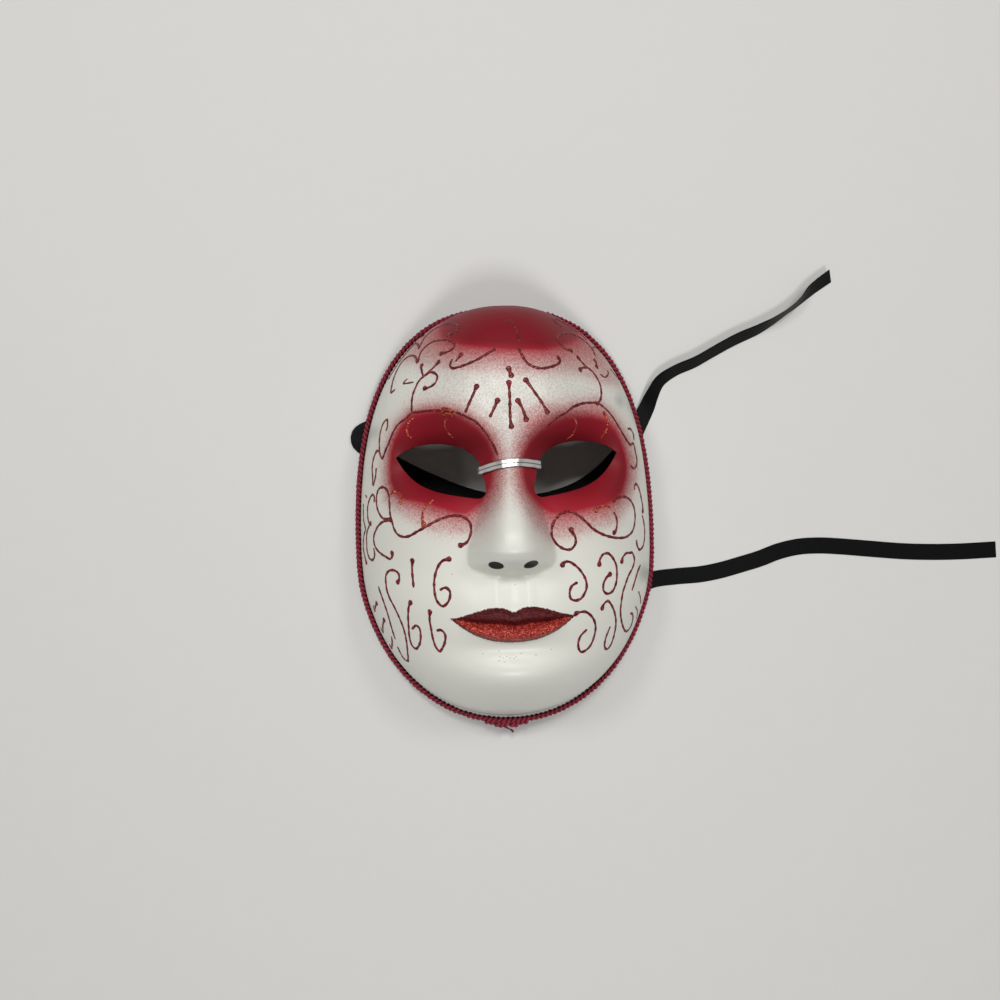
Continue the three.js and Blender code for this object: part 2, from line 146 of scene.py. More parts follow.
def distances(points: Array) -> Array:
    """How far each point of a line lies from its first one, along it."""
    return np.concatenate([[0.0], np.cumsum(np.linalg.norm(np.diff(points, axis=0), axis=1))])


def even_spans(points: Array, step: float) -> Array:
    """Places along the curve through points that are about one step apart.

    Args:
        points: The points, one row each.
        step: The distance wanted between places.

    Returns:
        The places, as spline takes them.
    """
    parts = 24
    fine = np.linspace(0, len(points) - 1, parts * (len(points) - 1) + 1)
    place, _ = spline(points, fine)
    run = distances(place)
    count = max(2, int(math.ceil(run[-1] / step)) + 1)
    return np.interp(np.linspace(0, run[-1], count), run, fine)


def unit(vectors: Array) -> Array:
    """Vectors of length 1, row by row."""
    least = 1e-12
    return vectors / np.maximum(np.linalg.norm(vectors, axis=-1, keepdims=True), least)


@dataclass(frozen=True)
class Rise:
    """A height that climbs from nothing at start to its full size at end, as a power of the way there."""

    size: float
    start: float
    end: float
    power: float

    def at(self, place: Array) -> Array:
        """The height at place."""
        return self.size * clamp((place - self.start) / (self.end - self.start)) ** self.power


@dataclass(frozen=True)
class Mound:
    """A soft mound: its size, its middle, its half widths, and how flat its top is."""

    size: float
    x: float
    y: float
    half_x: float
    half_y: float
    flat: float = 2.0

    def at(self, x: Array, y: Array) -> Array:
        """Its height at (x, y), as a bell across times a bell up and down."""
        return self.size * bell((x - self.x) / self.half_x, self.flat) * bell((y - self.y) / self.half_y)

    def oval_at(self, x: Array, y: Array) -> Array:
        """Its height at (x, y), as one bell round its middle."""
        ring = np.hypot((x - self.x) / self.half_x, (y - self.y) / self.half_y)
        return self.size * bell(ring, self.flat)


@dataclass(frozen=True)
class Zone:
    """A zone of the face: its size, its middle and half width across, and its soft lower and upper ends."""

    size: float
    x: float
    half_x: float
    low: float
    low_reach: float
    high: float = math.inf
    high_reach: float = 1.0
    flat: float = 2.0

    def at(self, x: Array, y: Array) -> Array:
        """Its strength at (x, y)."""
        ends = smooth((y - self.low) / self.low_reach) * smooth((self.high - y) / self.high_reach)
        return self.size * ends * bell((x - self.x) / self.half_x, self.flat)


@dataclass(frozen=True)
class FaceForm:
    """Form of the moulded face, as heights over the table, and the outline of its edge.

    The eye socket has its half width, half height, softness and depth given at the cheek and at the brow.
    """

    widest_y: float = -17.5
    half_width: float = 87.0
    up: float = 135.5
    down: float = 100.5
    forehead_roundness: float = 2.5
    jaw_roundness: float = 2.1
    wall: float = 1.6
    gap: float = 0.3
    braid_thickness: float = 3.3
    braid_height: float = 4.4
    top_power: float = 7.0
    top_half: float = 36.0
    top_flat: float = 2.2
    bottom_power: float = 3.0
    end_steepness: float = 3.2
    end_roundness: float = 0.9
    spine: Through = Through([
        (-120, 64), (-95, 68), (-80, 69), (-62, 67), (-45, 68), (-25, 66),
        (0, 67), (22, 68), (45, 74), (70, 76), (100, 78), (125, 80),
    ])
    nose_body: Through = Through([
        (-28.5, 0), (-26.5, 3), (-24.5, 9.5), (-22, 12.5), (-17, 12.5), (-10, 10.5),
        (0, 7), (12, 3.5), (26, 0),
    ])
    nose_half: Through = Through([
        (-28.5, 15), (-27, 19), (-25, 21), (-22, 22.2), (-17, 22), (-10, 20),
        (0, 17), (10, 14.5), (26, 12),
    ])
    nose_ridge: Through = Through([
        (-31, 0), (-29, 1.5), (-26, 3.5), (-23, 6.5), (-19.5, 11), (-15.5, 14), (-9, 15), (0, 14),
        (12, 10.5), (24, 6.5), (36, 2.5), (50, 0),
    ])
    ridge_half: Through = Through([
        (-30, 11), (-15, 15), (-8, 13.5), (0, 11.5), (10, 9.5), (25, 8), (50, 9),
    ])
    socket_middle: Point = (35.0, 26.0)
    socket_at_cheek: tuple[float, ...] = (32.5, 34.5, 2.3, 25.0)
    socket_at_brow: tuple[float, ...] = (29.5, 27.5, 1.35, 37.0)
    brow_start: float = 8.0
    brow_reach: float = 26.0
    brow_ridge: float = 2.2
    brow_ridge_ring: float = 1.08
    brow_ridge_half: float = 0.2
    brow_ridge_start: float = 30.0
    brow_ridge_reach: float = 14.0
    wing_flat: float = 2.8
    wing_power: float = 1.1
    inner_ridge: float = 0.6
    forehead_lift: Rise = Rise(9.0, 10.0, 115.0, 1.6)
    chin_lift: Rise = Rise(12.0, -60.0, -117.0, 2.0)
    ribbon_arch: float = 1.25
    ribbon_y: float = -41.0
    ribbon_half: float = 9.5
    ribbon_flat: float = 4.0
    cheek: Mound = Mound(3.5, 50.0, -4.0, 22.0, 17.0)
    muzzle: Mound = Mound(4.0, 0.0, -52.0, 30.0, 17.0, 2.6)
    under_lip: Mound = Mound(4.0, 0.0, -67.5, 24.0, 6.5)
    chin: Mound = Mound(4.5, 0.0, -81.0, 24.0, 13.0, 2.4)
    lip_half: float = 30.5
    lip_end: float = 14.0
    upper_roll: float = 3.0
    lower_roll: float = 4.4
    roll_power: float = 0.8
    parting_depth: float = 1.5
    parting_half: float = 1.6
    lip_top: float = -44.4
    lip_fall: float = 6.0
    lip_fall_start: float = 8.0
    lip_fall_reach: float = 26.0
    bow_dip: float = 2.4
    bow_half: float = 3.6
    parting_y: float = -52.8
    parting_rise: float = 2.6
    parting_dip: float = 0.6
    parting_dip_half: float = 5.0
    lip_bottom: float = -62.4
    bottom_rise: float = 11.4
    bottom_lateness: float = 2.2
    thinnest_lip: float = 0.3
    philtrum_ridge: Zone = Zone(0.8, 8.2, 3.0, -50.0, 6.0, -27.0, 6.0)
    philtrum_groove: Zone = Zone(0.7, 0.0, 4.5, -50.0, 6.0, -27.0, 6.0)
    eye: tuple[tuple[Point, ...], ...] = (
        ((58.5, 32), (51, 38.8), (38, 40.6), (26, 36.4)),
        ((26, 36.4), (17.2, 33.2), (13.4, 27), (13.2, 19.5)),
        ((13.2, 19.5), (10.4, 13), (12, 7.8), (19, 9.6)),
        ((19, 9.6), (37, 12.4), (50, 14.5), (58.5, 32)),
    )
    nostril_middle: Point = (8.4, -22.9)
    nostril_half: Point = (3.7, 2.1)
    nostril_tilt: float = 0.18

    @property
    def shell_inset(self) -> float:
        """Distance from the braid's outline in to the shell's outer face."""
        return self.braid_thickness + self.gap

    def rim_lift(self, y: Array) -> Array:
        """Height of the rim over the table at y."""
        arch = self.ribbon_arch * bell((y - self.ribbon_y) / self.ribbon_half, self.ribbon_flat)
        return self.forehead_lift.at(y) + self.chin_lift.at(y) + arch

    def gauge(self, x: Array, y: Array, inset: float) -> tuple[Array, Array]:
        """Place of (x, y) in the outline with that inset from the braid's.

        Args:
            x: Places to the right.
            y: Places up the face.
            inset: Distance of the outline from the braid's outer one.

        Returns:
            The share of the way from the middle to the outline, and how far up or down it points.
        """
        above = y > self.widest_y
        power = np.where(above, self.forehead_roundness, self.jaw_roundness)
        across = np.abs(x) / (self.half_width - inset)
        along = np.abs(y - self.widest_y) / (np.where(above, self.up, self.down) - inset)
        reach = (across**power + along**power) ** (1 / power)
        return reach, np.sign(y - self.widest_y) * along / np.maximum(reach, 1e-6)

    def on_ray(self, turn: Array, reach: Array, inset: float) -> tuple[Array, Array]:
        """Points at angles turn, at the share reach of the way to the outline with that inset."""
        dx, dy = np.cos(turn), np.sin(turn)
        full, _ = self.gauge(dx, self.widest_y + dy, inset)
        return dx * reach / full, self.widest_y + dy * reach / full

    def dome(self, x: Array, y: Array, inner: float) -> Array:
        """Height of the broad dome of the face, where inner is 0 outside and the wall inside.

        Args:
            x: Places to the right.
            y: Places up the face.
            inner: 0 outside, or the wall inside.

        Returns:
            Its heights over the table.
        """
        reach, direction = self.gauge(x, y, self.shell_inset + inner)
        up = clamp(direction) ** self.top_power * bell(x / self.top_half, self.top_flat)
        down = clamp(-direction) ** self.bottom_power
        first = 2 + self.end_steepness * up + self.end_steepness * down
        second = 2 + self.end_roundness * up - self.end_roundness * down
        low = self.rim_lift(y)
        return low + (self.spine(y) - inner - low) * clamp(1 - clamp(reach) ** first) ** (1 / second)

    def socket(self, ax: Array, y: Array) -> Array:
        """Depth of the eye sockets, crisp at the brow and soft at the cheek, and the ridge of the brow.

        Args:
            ax: Distances from the middle.
            y: Places up the face.

        Returns:
            What the sockets add to the height.
        """
        high = smooth((y - self.brow_start) / self.brow_reach)
        half_x, half_y, power, depth = (
            cheek + (brow - cheek) * high for cheek, brow in zip(self.socket_at_cheek, self.socket_at_brow)
        )
        ring = np.hypot((ax - self.socket_middle[0]) / half_x, (y - self.socket_middle[1]) / half_y)
        ridge = self.brow_ridge * bell((ring - self.brow_ridge_ring) / self.brow_ridge_half)
        ridge = ridge * smooth((y - self.brow_ridge_start) / self.brow_ridge_reach)
        return ridge - depth * clamp(1 - ring) ** power

    def nose(self, ax: Array, y: Array, inner: float) -> Array:
        """Height of the nose: a broad body with its wings, and the ridge on it.

        Args:
            ax: Distances from the middle.
            y: Places up the face.
            inner: 0 outside, or the wall inside.

        Returns:
            What the nose adds to the height.
        """
        side = clamp(ax / (self.nose_half(y) - inner))
        body = self.nose_body(y) * (1 - side**self.wing_flat) ** self.wing_power
        half = self.ridge_half(y) - self.inner_ridge * inner
        return body + self.nose_ridge(y) * bell(ax / half, self.wing_flat)

    def lip_lines(self, ax: Array) -> tuple[Array, Array, Array]:
        """The top of the upper lip, the parting and the bottom of the lower lip, at ax from the middle.

        Args:
            ax: Distances from the middle.

        Returns:
            The three lines' places up the face.
        """
        out = ax / self.lip_half
        parting = self.parting_y + self.parting_rise * out**2
        parting = parting - self.parting_dip * bell(ax / self.parting_dip_half)
        top = self.lip_top - self.lip_fall * smooth((ax - self.lip_fall_start) / self.lip_fall_reach)
        top = top - self.bow_dip * bell(ax / self.bow_half)
        return top, parting, self.lip_bottom + self.bottom_rise * clamp(out) ** self.bottom_lateness

    def lips(self, ax: Array, y: Array) -> Array:
        """Height of the two lips and the depth of the parting between them.

        Args:
            ax: Distances from the middle.
            y: Places up the face.

        Returns:
            What the lips add to the height.
        """
        top, parting, bottom = self.lip_lines(ax)
        upper = clamp((y - parting) / np.maximum(top - parting, self.thinnest_lip))
        lower = clamp((parting - y) / np.maximum(parting - bottom, self.thinnest_lip))
        upper_roll, lower_roll = (
            size * np.maximum(0, np.sin(math.pi * share)) ** self.roll_power
            for size, share in ((self.upper_roll, upper), (self.lower_roll, lower))
        )
        parted = np.where(y > parting, upper_roll, lower_roll)
        parted = parted - self.parting_depth * bell((y - parting) / self.parting_half)
        return smooth((self.lip_half + 1 - ax) / self.lip_end) * parted

    def height(self, x: Array, y: Array, inner: float = 0.0) -> Array:
        """Height of the face at (x, y).

        Args:
            x: Places to the right.
            y: Places up the face.
            inner: 0 for the outer side, or the wall for the plainer inner side.

        Returns:
            Heights over the table.
        """
        ax = np.abs(x)
        broad = self.dome(x, y, inner) + self.socket(ax, y) + self.nose(ax, y, inner)
        broad = broad + self.cheek.at(ax, y) + self.muzzle.oval_at(ax, y)
        broad = broad - self.under_lip.at(ax, y) + self.chin.at(ax, y)
        if inner > 0:
            return broad
        philtrum = self.philtrum_ridge.at(ax, y) - self.philtrum_groove.at(ax, y)
        return broad + self.lips(ax, y) + philtrum

    def normal(self, x: Array, y: Array) -> Array:
        """Outward directions of the outer face at (x, y), one row each."""
        aside = 0.15
        dx = (self.height(x + aside, y) - self.height(x - aside, y)) / (2 * aside)
        dy = (self.height(x, y + aside) - self.height(x, y - aside)) / (2 * aside)
        return unit(np.stack([-dx, -dy, np.ones_like(dx)], axis=-1))

    def eye_outline(self, side: int, steps: int = 26) -> Array:
        """Corners of the eye hole on one side, in plan.

        Args:
            side: 1 for the right and -1 for the left.
            steps: Corners along each of the four curves.

        Returns:
            Its corners, one row each.
        """
        t = np.linspace(0, 1, steps, endpoint=False)[:, None]
        s = 1 - t
        curves = []
        for a, b, c, d in self.eye:
            a, b, c, d = (np.array(p) for p in (a, b, c, d))
            curves.append(a * s**3 + 3 * b * s**2 * t + 3 * c * s * t**2 + d * t**3)
        return np.vstack(curves) * (side, 1)

    def nostril_outline(self, side: int, steps: int = 40) -> Array:
        """Corners of the nostril hole on one side, in plan.

        Args:
            side: 1 for the right and -1 for the left.
            steps: How many corners it has.

        Returns:
            Its corners, one row each.
        """
        (x, y), (half_x, half_y) = self.nostril_middle, self.nostril_half
        cos, sin = math.cos(self.nostril_tilt), math.sin(self.nostril_tilt)
        t = np.linspace(0, 2 * math.pi, steps, endpoint=False)
        u, v = half_x * np.cos(t), half_y * np.sin(t)
        return np.stack([side * (x + u * cos - v * sin), y + u * sin + v * cos], axis=-1)


FACE = FaceForm()


@dataclass(frozen=True)
class Viewpoint:
    """Where the photograph was taken from, in millimetres, and its lens."""

    place: Triple = (-19.0, 8.3, 440.0)
    target: Triple = (-2.822, 8.374, 3.0)
    roll: float = math.radians(1.5)
    lens: float = 27.07
    sensor: float = 36.0
    frame_px: float = 1000.0
    highest: float = 100.0
    halvings: int = 14

    def axes(self) -> tuple[Array, Array, Array]:
        """Directions right, up and forward of the camera.

        Returns:
            The three directions, each of length 1.
        """
        ahead = unit(np.array(self.target) - np.array(self.place))
        right = unit(np.cross(ahead, (0.0, 1.0, 0.0)))
        up = np.cross(right, ahead)
        cos, sin = math.cos(self.roll), math.sin(self.roll)
        return cos * right - sin * up, sin * right + cos * up, ahead

    def rays(self, pixels: Array) -> Array:
        """Directions from the camera through pixels, one row each.

        Args:
            pixels: Places in the photograph.

        Returns:
            A direction for each of them.
        """
        right, up, ahead = self.axes()
        focal = self.lens / self.sensor * self.frame_px
        middle = self.frame_px / 2
        u, v = (pixels[:, :1] - middle) / focal, (middle - pixels[:, 1:]) / focal
        return ahead + right * u + up * v

    def on_face(self, pixels: Array) -> Array:
        """Points of the face that show at pixels.

        Args:
            pixels: Places in the photograph, one row each.

        Returns:
            Points on the outer face, one row each.
        """
        rays = self.rays(pixels)
        start = np.array(self.place)

        def at(level: Array) -> Array:
            """Points of the rays at that height."""
            return start + rays * ((level - start[2]) / rays[:, 2])[:, None]

        def above(level: Array) -> Array:
            """Height of those points over the face, or over the table outside its edge."""
            p = at(level)
            reach, _ = FACE.gauge(p[:, 0], p[:, 1], FACE.shell_inset)
            return level - np.where(reach < 1, FACE.height(p[:, 0], p[:, 1]), 0.0)

        high = np.full(len(pixels), self.highest)
        found = np.zeros(len(pixels), dtype=bool)
        for _ in range(int(self.highest)):
            found |= above(high - 1.0) < 0
            high = np.where(found, high, high - 1.0)
        low = high - 1.0
        for _ in range(self.halvings):
            middle = (high + low) / 2
            over = above(middle) > 0
            high, low = np.where(over, middle, high), np.where(over, low, middle)
        return at((high + low) / 2)


VIEW = Viewpoint()


class Sheet:
    """A material's nodes, with short names for the kinds that the finishes use."""

    def __init__(self, name: str) -> None:
        """Starts a material with an empty shader.

        Args:
            name: The material's name.
        """
        self.material = bpy.data.materials.new(name)
        self.material.use_nodes = True
        self.tree = self.material.node_tree
        self.shader = self.tree.nodes["Principled BSDF"]
        self.place = self.add("ShaderNodeTexCoord").outputs["Object"]

    def add(self, kind: str, **settings: object) -> bpy.types.Node:
        """New node of that kind with its settings.

        Args:
            kind: Blender's name of it.
            settings: Its settings by name.

        Returns:
            The node.
        """
        node = self.tree.nodes.new(kind)
        for name, value in settings.items():
            setattr(node, name, value)
        return node

    def feed(self, socket: Socket, value: object) -> None:
        """Links value to the socket, or sets it there when it is a plain number or colour.

        Args:
            socket: The socket.
            value: A node's output, a number or a colour.
        """
        if isinstance(value, Socket):
            self.tree.links.new(value, socket)
        elif isinstance(value, tuple) and len(value) == 3 and socket.type == "RGBA":
            socket.default_value = (*value, 1.0)
        else:
            socket.default_value = value

    def finish(self, **values: object) -> Material:
        """Sets the shader's sockets, named in lower case with underscores, and gives the material.

        Args:
            values: A value for each socket's name.

        Returns:
            The material.
        """
        for name, value in values.items():
            self.feed(self.shader.inputs[name.replace("_", " ").title().replace("Ior", "IOR")], value)
        return self.material

    def math(self, operation: str, a: object, b: object = 0.0, c: object = 0.0) -> Socket:
        """Result of a sum on up to three values.

        Args:
            operation: Blender's name of the sum.
            a: First value.
            b: Second.
            c: Third.

        Returns:
            The result.
        """
        node = self.add("ShaderNodeMath", operation=operation)
        for socket, value in zip(node.inputs, (a, b, c)):
            self.feed(socket, value)
        return node.outputs[0]

    def times(self, a: object, b: object) -> Socket:
        """Product of two values."""
        return self.math("MULTIPLY", a, b)

    def step(self, value: object, low: float, high: float) -> Socket:
        """Soft step from 0 to 1 while value goes from low to high."""
        node = self.add("ShaderNodeMapRange", interpolation_type="SMOOTHSTEP")
        for name, number in (("Value", value), ("From Min", low), ("From Max", high)):
            self.feed(node.inputs[name], number)
        return node.outputs[0]

    def blend(self, share: object, a: object, b: object) -> Socket:
        """Colour between a and b."""
        node = self.add("ShaderNodeMix", data_type="RGBA")
        for index, value in ((0, share), (6, a), (7, b)):
            self.feed(node.inputs[index], value)
        return node.outputs[2]

    def between(self, share: object, a: object, b: object) -> Socket:
        """Number between a and b."""
        node = self.add("ShaderNodeMix", data_type="FLOAT")
        for index, value in ((0, share), (2, a), (3, b)):
            self.feed(node.inputs[index], value)
        return node.outputs[0]

    def texture(self, kind: str, size_mm: float) -> bpy.types.Node:
        """New texture of that kind in the mask's own frame, with features of that size."""
        node = self.add(kind)
        self.feed(node.inputs["Vector"], self.place)
        node.inputs["Scale"].default_value = 1 / (size_mm * MM)
        return node

    def noise(self, size_mm: float, detail: float = 2.0) -> Socket:
        """Cloudy noise with features of that size."""
        node = self.texture("ShaderNodeTexNoise", size_mm)
        node.inputs["Detail"].default_value = detail
        return node.outputs[0]

    def grains(self, size_mm: float) -> tuple[Socket, Socket]:
        """Cells of that size: a random number and a random colour for each."""
        node = self.texture("ShaderNodeTexVoronoi", size_mm)
        split = self.add("ShaderNodeSeparateColor")
        self.feed(split.inputs[0], node.outputs["Color"])
        return split.outputs[0], node.outputs["Color"]

    def ramp(self, value: object, stops: Stops) -> Socket:
        """Colour along stops of place and colour.

        Args:
            value: Where to look.
            stops: Places and their colours.

        Returns:
            The colour.
        """
        node = self.add("ShaderNodeValToRGB")
        band = node.color_ramp
        while len(band.elements) < len(stops):
            band.elements.new(1.0)
        for element, (at, colour) in zip(band.elements, stops):
            element.position = at
            element.color = (*colour, 1.0)
        self.feed(node.inputs[0], value)
        return node.outputs[0]

    def attribute(self, name: str) -> Socket:
        """Number that the mesh holds at its points under that name."""
        return self.add("ShaderNodeAttribute", attribute_name=name).outputs["Fac"]

    def bump(self, height: object, depth_mm: float, strength: float) -> Socket:
        """Surface direction disturbed by height, which is depth_mm deep.

        Args:
            height: The height.
            depth_mm: Its depth.
            strength: How much of it shows.

        Returns:
            The direction.
        """
        node = self.add("ShaderNodeBump")
        self.feed(node.inputs["Height"], height)
        node.inputs["Distance"].default_value = depth_mm * MM
        node.inputs["Strength"].default_value = strength
        return node.outputs[0]


@dataclass(frozen=True)
class PaintedPlastic:
    """White moulded plastic with its airbrushed crimson, its glitter lips, and painted shade and shadows.
    """

    white: Colour = (0.705, 0.70, 0.63)
    crimson: Colour = (0.34, 0.010, 0.022)
    deep: Colour = (0.070, 0.002, 0.004)
    haze: Colour = (0.24, 0.10, 0.11)
    # Grey of the painted shadows where the black ribbons show through the thin plastic, and of one small
    # grey dot.
    smudge_and_shadow: Colour = (0.16, 0.16, 0.16)
    smudge_and_shadow_cover: float = 0.35
    grain_mm: float = 0.45
    scatter: float = 1.7
    droplet_mm: float = 0.42
    droplet_share: float = 0.6
    droplet_edge: Point = (0.98, 1.2)
    droplet_cover: float = 0.3
    lip_wander_mm: float = 0.8
    lip_wander: float = 1.6
    lip_edge: Point = (0.62, 0.95)
    bright_edge: Point = (0.9, 3.0)
    ripple_mm: float = 7.0
    ripple: float = 0.2
    depth_mm: float = 0.12
    bump: float = 0.6
    roughness: Triple = (0.38, 0.5, 0.5)
    specular: Triple = (0.42, 0.2, 0.2)
    glitter_mm: float = 0.42
    glitter: Stops = (
        (0.0, (0.12, 0.004, 0.005)), (0.45, (0.27, 0.014, 0.012)),
        (0.8, (0.48, 0.045, 0.030)), (1.0, (0.80, 0.22, 0.14)),
    )
    shaded_glitter: Stops = (
        (0.0, (0.025, 0.001, 0.002)), (0.6, (0.075, 0.004, 0.005)), (1.0, (0.18, 0.02, 0.02)),
    )

    def make(self) -> Material:
        """Makes the material, which reads the paint, and the painted shade and shadows, that the face's
        points hold.

        Returns:
            The material.
        """
        sheet = Sheet("painted_plastic")
        grain, _ = sheet.grains(self.grain_mm)
        scatter = sheet.math("SUBTRACT", grain, 0.5)
        red = sheet.attribute("red")
        thin = sheet.times(red, sheet.math("SUBTRACT", 1.0, red))
        painted = sheet.math("MULTIPLY_ADD", sheet.times(thin, scatter), self.scatter, red)
        painted = sheet.math("MINIMUM", sheet.math("MAXIMUM", painted, 0.0), 1.0)
        # The dark crimson carries both layered paint and painted shade.
        shade = sheet.blend(sheet.attribute("deep"), self.crimson, self.deep)
        droplet, _ = sheet.grains(self.droplet_mm)
        mist = sheet.math("MULTIPLY_ADD", sheet.attribute("mist"), self.droplet_share, droplet)
        mist = sheet.step(mist, *self.droplet_edge)
        toned = sheet.blend(sheet.times(mist, self.droplet_cover), self.white, self.haze)
        # Painted shadow: grey where the ribbons show through the plastic, and one small grey dot.
        toned = sheet.blend(sheet.times(sheet.attribute("smudge_and_shadow"), self.smudge_and_shadow_cover), toned, self.smudge_and_shadow)
        skin = sheet.blend(painted, toned, shade)
        wander = sheet.noise(self.lip_wander_mm)
        lip = sheet.math("MULTIPLY_ADD", wander, self.lip_wander, sheet.attribute("lip"))
        lips = sheet.step(lip, *self.lip_edge)
        sparkle, facet = sheet.grains(self.glitter_mm)
        bright = sheet.times(sheet.attribute("lower_lip"), sheet.step(lip, *self.bright_edge))
        shaded, lit = sheet.ramp(sparkle, self.shaded_glitter), sheet.ramp(sparkle, self.glitter)
        relief = sheet.between(lips, sheet.times(sheet.noise(self.ripple_mm), self.ripple), facet)
        roughness, specular = (
            sheet.between(lips, sheet.between(painted, bare, paint), glitter)
            for bare, paint, glitter in (self.roughness, self.specular)
        )
        return sheet.finish(
            base_color=sheet.blend(lips, skin, sheet.blend(bright, shaded, lit)),
            roughness=roughness,
            specular_ior_level=specular,
            normal=sheet.bump(relief, self.depth_mm, self.bump),
        )


@dataclass(frozen=True)
class PlainFinish:
    """Plain finish with a slight mottle, which darkens its colour and roughens it."""

    name: str
    colour: Colour
    roughness: float
    mottle_mm: float = 3.0
    depth_mm: float = 0.05
    bump: float = 0.5
    darkest: float = 0.8
    specular: float = 0.5
    unevenness: float = 0.15

    def make(self) -> Material:
        """Makes the material.

        Returns:
            The material.
        """
        sheet = Sheet(self.name)
        mottle = sheet.noise(self.mottle_mm, 4.0)
        dark = tuple(self.darkest * part for part in self.colour)
        smoother, rougher = self.roughness * (1 - self.unevenness), self.roughness * (1 + self.unevenness)
        return sheet.finish(
            base_color=sheet.blend(mottle, dark, self.colour),
            roughness=sheet.between(mottle, smoother, min(1.0, rougher)),
            specular_ior_level=self.specular,
            normal=sheet.bump(mottle, self.depth_mm, self.bump),
        )


@dataclass(frozen=True)
class GlitterGlue:
    """Red glitter in dried clear glue, with the colours of its grains from dark to bright."""

    name: str
    grains: Stops
    grain_mm: float = 0.42
    roughness: float = 0.45
    specular: float = 0.25
    depth_mm: float = 0.1
    bump: float = 0.7

    def make(self) -> Material:
        """Makes the material.

        Returns:
            The material.
        """
        sheet = Sheet(self.name)
        sparkle, facet = sheet.grains(self.grain_mm)
        return sheet.finish(
            base_color=sheet.ramp(sparkle, self.grains),
            roughness=self.roughness,
            specular_ior_level=self.specular,
            normal=sheet.bump(facet, self.depth_mm, self.bump),
        )


@dataclass(frozen=True)
class PlaitedYarn:
    """Crimson viscose yarn: fibres that run round the strand, and a soft sheen."""

    light: Colour = (0.36, 0.014, 0.040)
    dark: Colour = (0.14, 0.003, 0.012)
    # Colour of the painted shade between the lumps and at the sides of each strand.
    groove_shade: Colour = (0.06, 0.0015, 0.007)
    fibre_share: float = 0.4
    fuzz_mm: float = 0.5
    fuzz_share: float = 0.75
    light_edge: Point = (0.15, 0.95)
    groove_shade_edge: Point = (0.5, 0.8)
    roughness: float = 0.72
    sheen: float = 0.08
    sheen_roughness: float = 0.4
    sheen_tint: Colour = (0.9, 0.35, 0.42)
    depth_mm: float = 0.15
    bump: float = 0.8

    def make(self) -> Material:
        """Makes the material, which reads how far each point lies along its strand, and how far it lies out
        of the painted shade between and beside the strands.

        Returns:
            The material.
        """
        sheet = Sheet("plaited_yarn")
        fibres = sheet.math("SINE", sheet.attribute("fibre"))
        fibres = sheet.math("MULTIPLY_ADD", fibres, 0.5, 0.5)
        loose = sheet.noise(self.fuzz_mm, 3.0)
        shade = sheet.times(fibres, self.fibre_share)
        shade = sheet.math("ADD", shade, sheet.times(loose, self.fuzz_share))
        yarn = sheet.blend(sheet.step(shade, *self.light_edge), self.dark, self.light)
        # Painted shade: groove colour between the lumps and at the sides of each strand.
        unshaded = sheet.step(sheet.attribute("unshaded"), *self.groove_shade_edge)
        return sheet.finish(
            base_color=sheet.blend(unshaded, self.groove_shade, yarn),
            roughness=self.roughness,
            sheen_weight=self.sheen,
            sheen_roughness=self.sheen_roughness,
            sheen_tint=self.sheen_tint,
            normal=sheet.bump(shade, self.depth_mm, self.bump),
        )


@dataclass(frozen=True)
class BlackSatin:
    """Black satin ribbon: a fine weave across it and a soft sheen along it."""

    colour: Colour = (0.0035, 0.0035, 0.0035)
    toned: Colour = (0.009, 0.009, 0.010)
    rib_rate: float = 14.0
    cloud_mm: float = 4.0
    selvedge: Point = (0.84, 0.95)
    roughness: Point = (0.42, 0.7)
    specular: float = 0.08
    depth_mm: float = 0.06
    bump: float = 0.5

    def make(self) -> Material:
        """Makes the material, which reads how far each point lies along and across the ribbon.

        Returns:
            The material.
        """
        sheet = Sheet("black_satin")
        along = sheet.attribute("lengthwise")
        across = sheet.attribute("crosswise")
        ribs = sheet.math("SINE", sheet.times(along, self.rib_rate))
        ribs = sheet.math("MULTIPLY_ADD", ribs, 0.5, 0.5)
        edge = sheet.step(sheet.math("ABSOLUTE", across), *self.selvedge)
        cloud = sheet.noise(self.cloud_mm, 3.0)
        return sheet.finish(
            base_color=sheet.blend(sheet.times(cloud, 0.5), self.colour, self.toned),
            roughness=sheet.between(edge, *self.roughness),
            specular_ior_level=self.specular,
            normal=sheet.bump(sheet.math("ADD", ribs, cloud), self.depth_mm, self.bump),
        )


@dataclass(frozen=True)
class CreasedFoil:
    """Silver foil on a wire core, creased, with painted shade in its middle groove and along its edges."""

    colour: Colour = (0.88, 0.86, 0.82)
    dull: Colour = (0.7, 0.68, 0.66)
    # Dark grey of the painted shade in the middle groove and along the edges.
    groove_shade: Colour = (0.16, 0.14, 0.13)
    crease_mm: float = 1.6
    facet_mm: float = 1.1
    facet_share: float = 0.35
    mottle_mm: float = 0.9
    middle_groove_shade: Point = (0.04, 0.2)
    edge_groove_shade: Point = (0.98, 0.84)
    roughness: float = 0.36
    metallic: float = 0.8
    depth_mm: float = 0.16
    bump: float = 0.6

    def make(self) -> Material:
        """Makes the material.

        Returns:
            The material.
        """
        sheet = Sheet("creased_foil")
        crumple = sheet.noise(self.crease_mm, 4.0)
        facet, _ = sheet.grains(self.facet_mm)
        crease = sheet.math("ADD", crumple, sheet.times(facet, self.facet_share))
        # Painted shade: dark grey along the middle groove and both edges of the band.
        across = sheet.math("ABSOLUTE", sheet.attribute("crosswise"))
        ridge = sheet.times(sheet.step(across, *self.middle_groove_shade), sheet.step(across, *self.edge_groove_shade))
        bright = sheet.blend(sheet.noise(self.mottle_mm, 3.0), self.dull, self.colour)
        return sheet.finish(
            base_color=sheet.blend(ridge, self.groove_shade, bright),
            roughness=self.roughness,
            metallic=self.metallic,
            normal=sheet.bump(crease, self.depth_mm, self.bump),
        )


def put(name: str, data: bpy.types.ID) -> Object:
    """New object of that name in the scene, with its mesh, lamp or camera."""
    made = bpy.data.objects.new(name, data)
    bpy.context.scene.collection.objects.link(made)
    return made


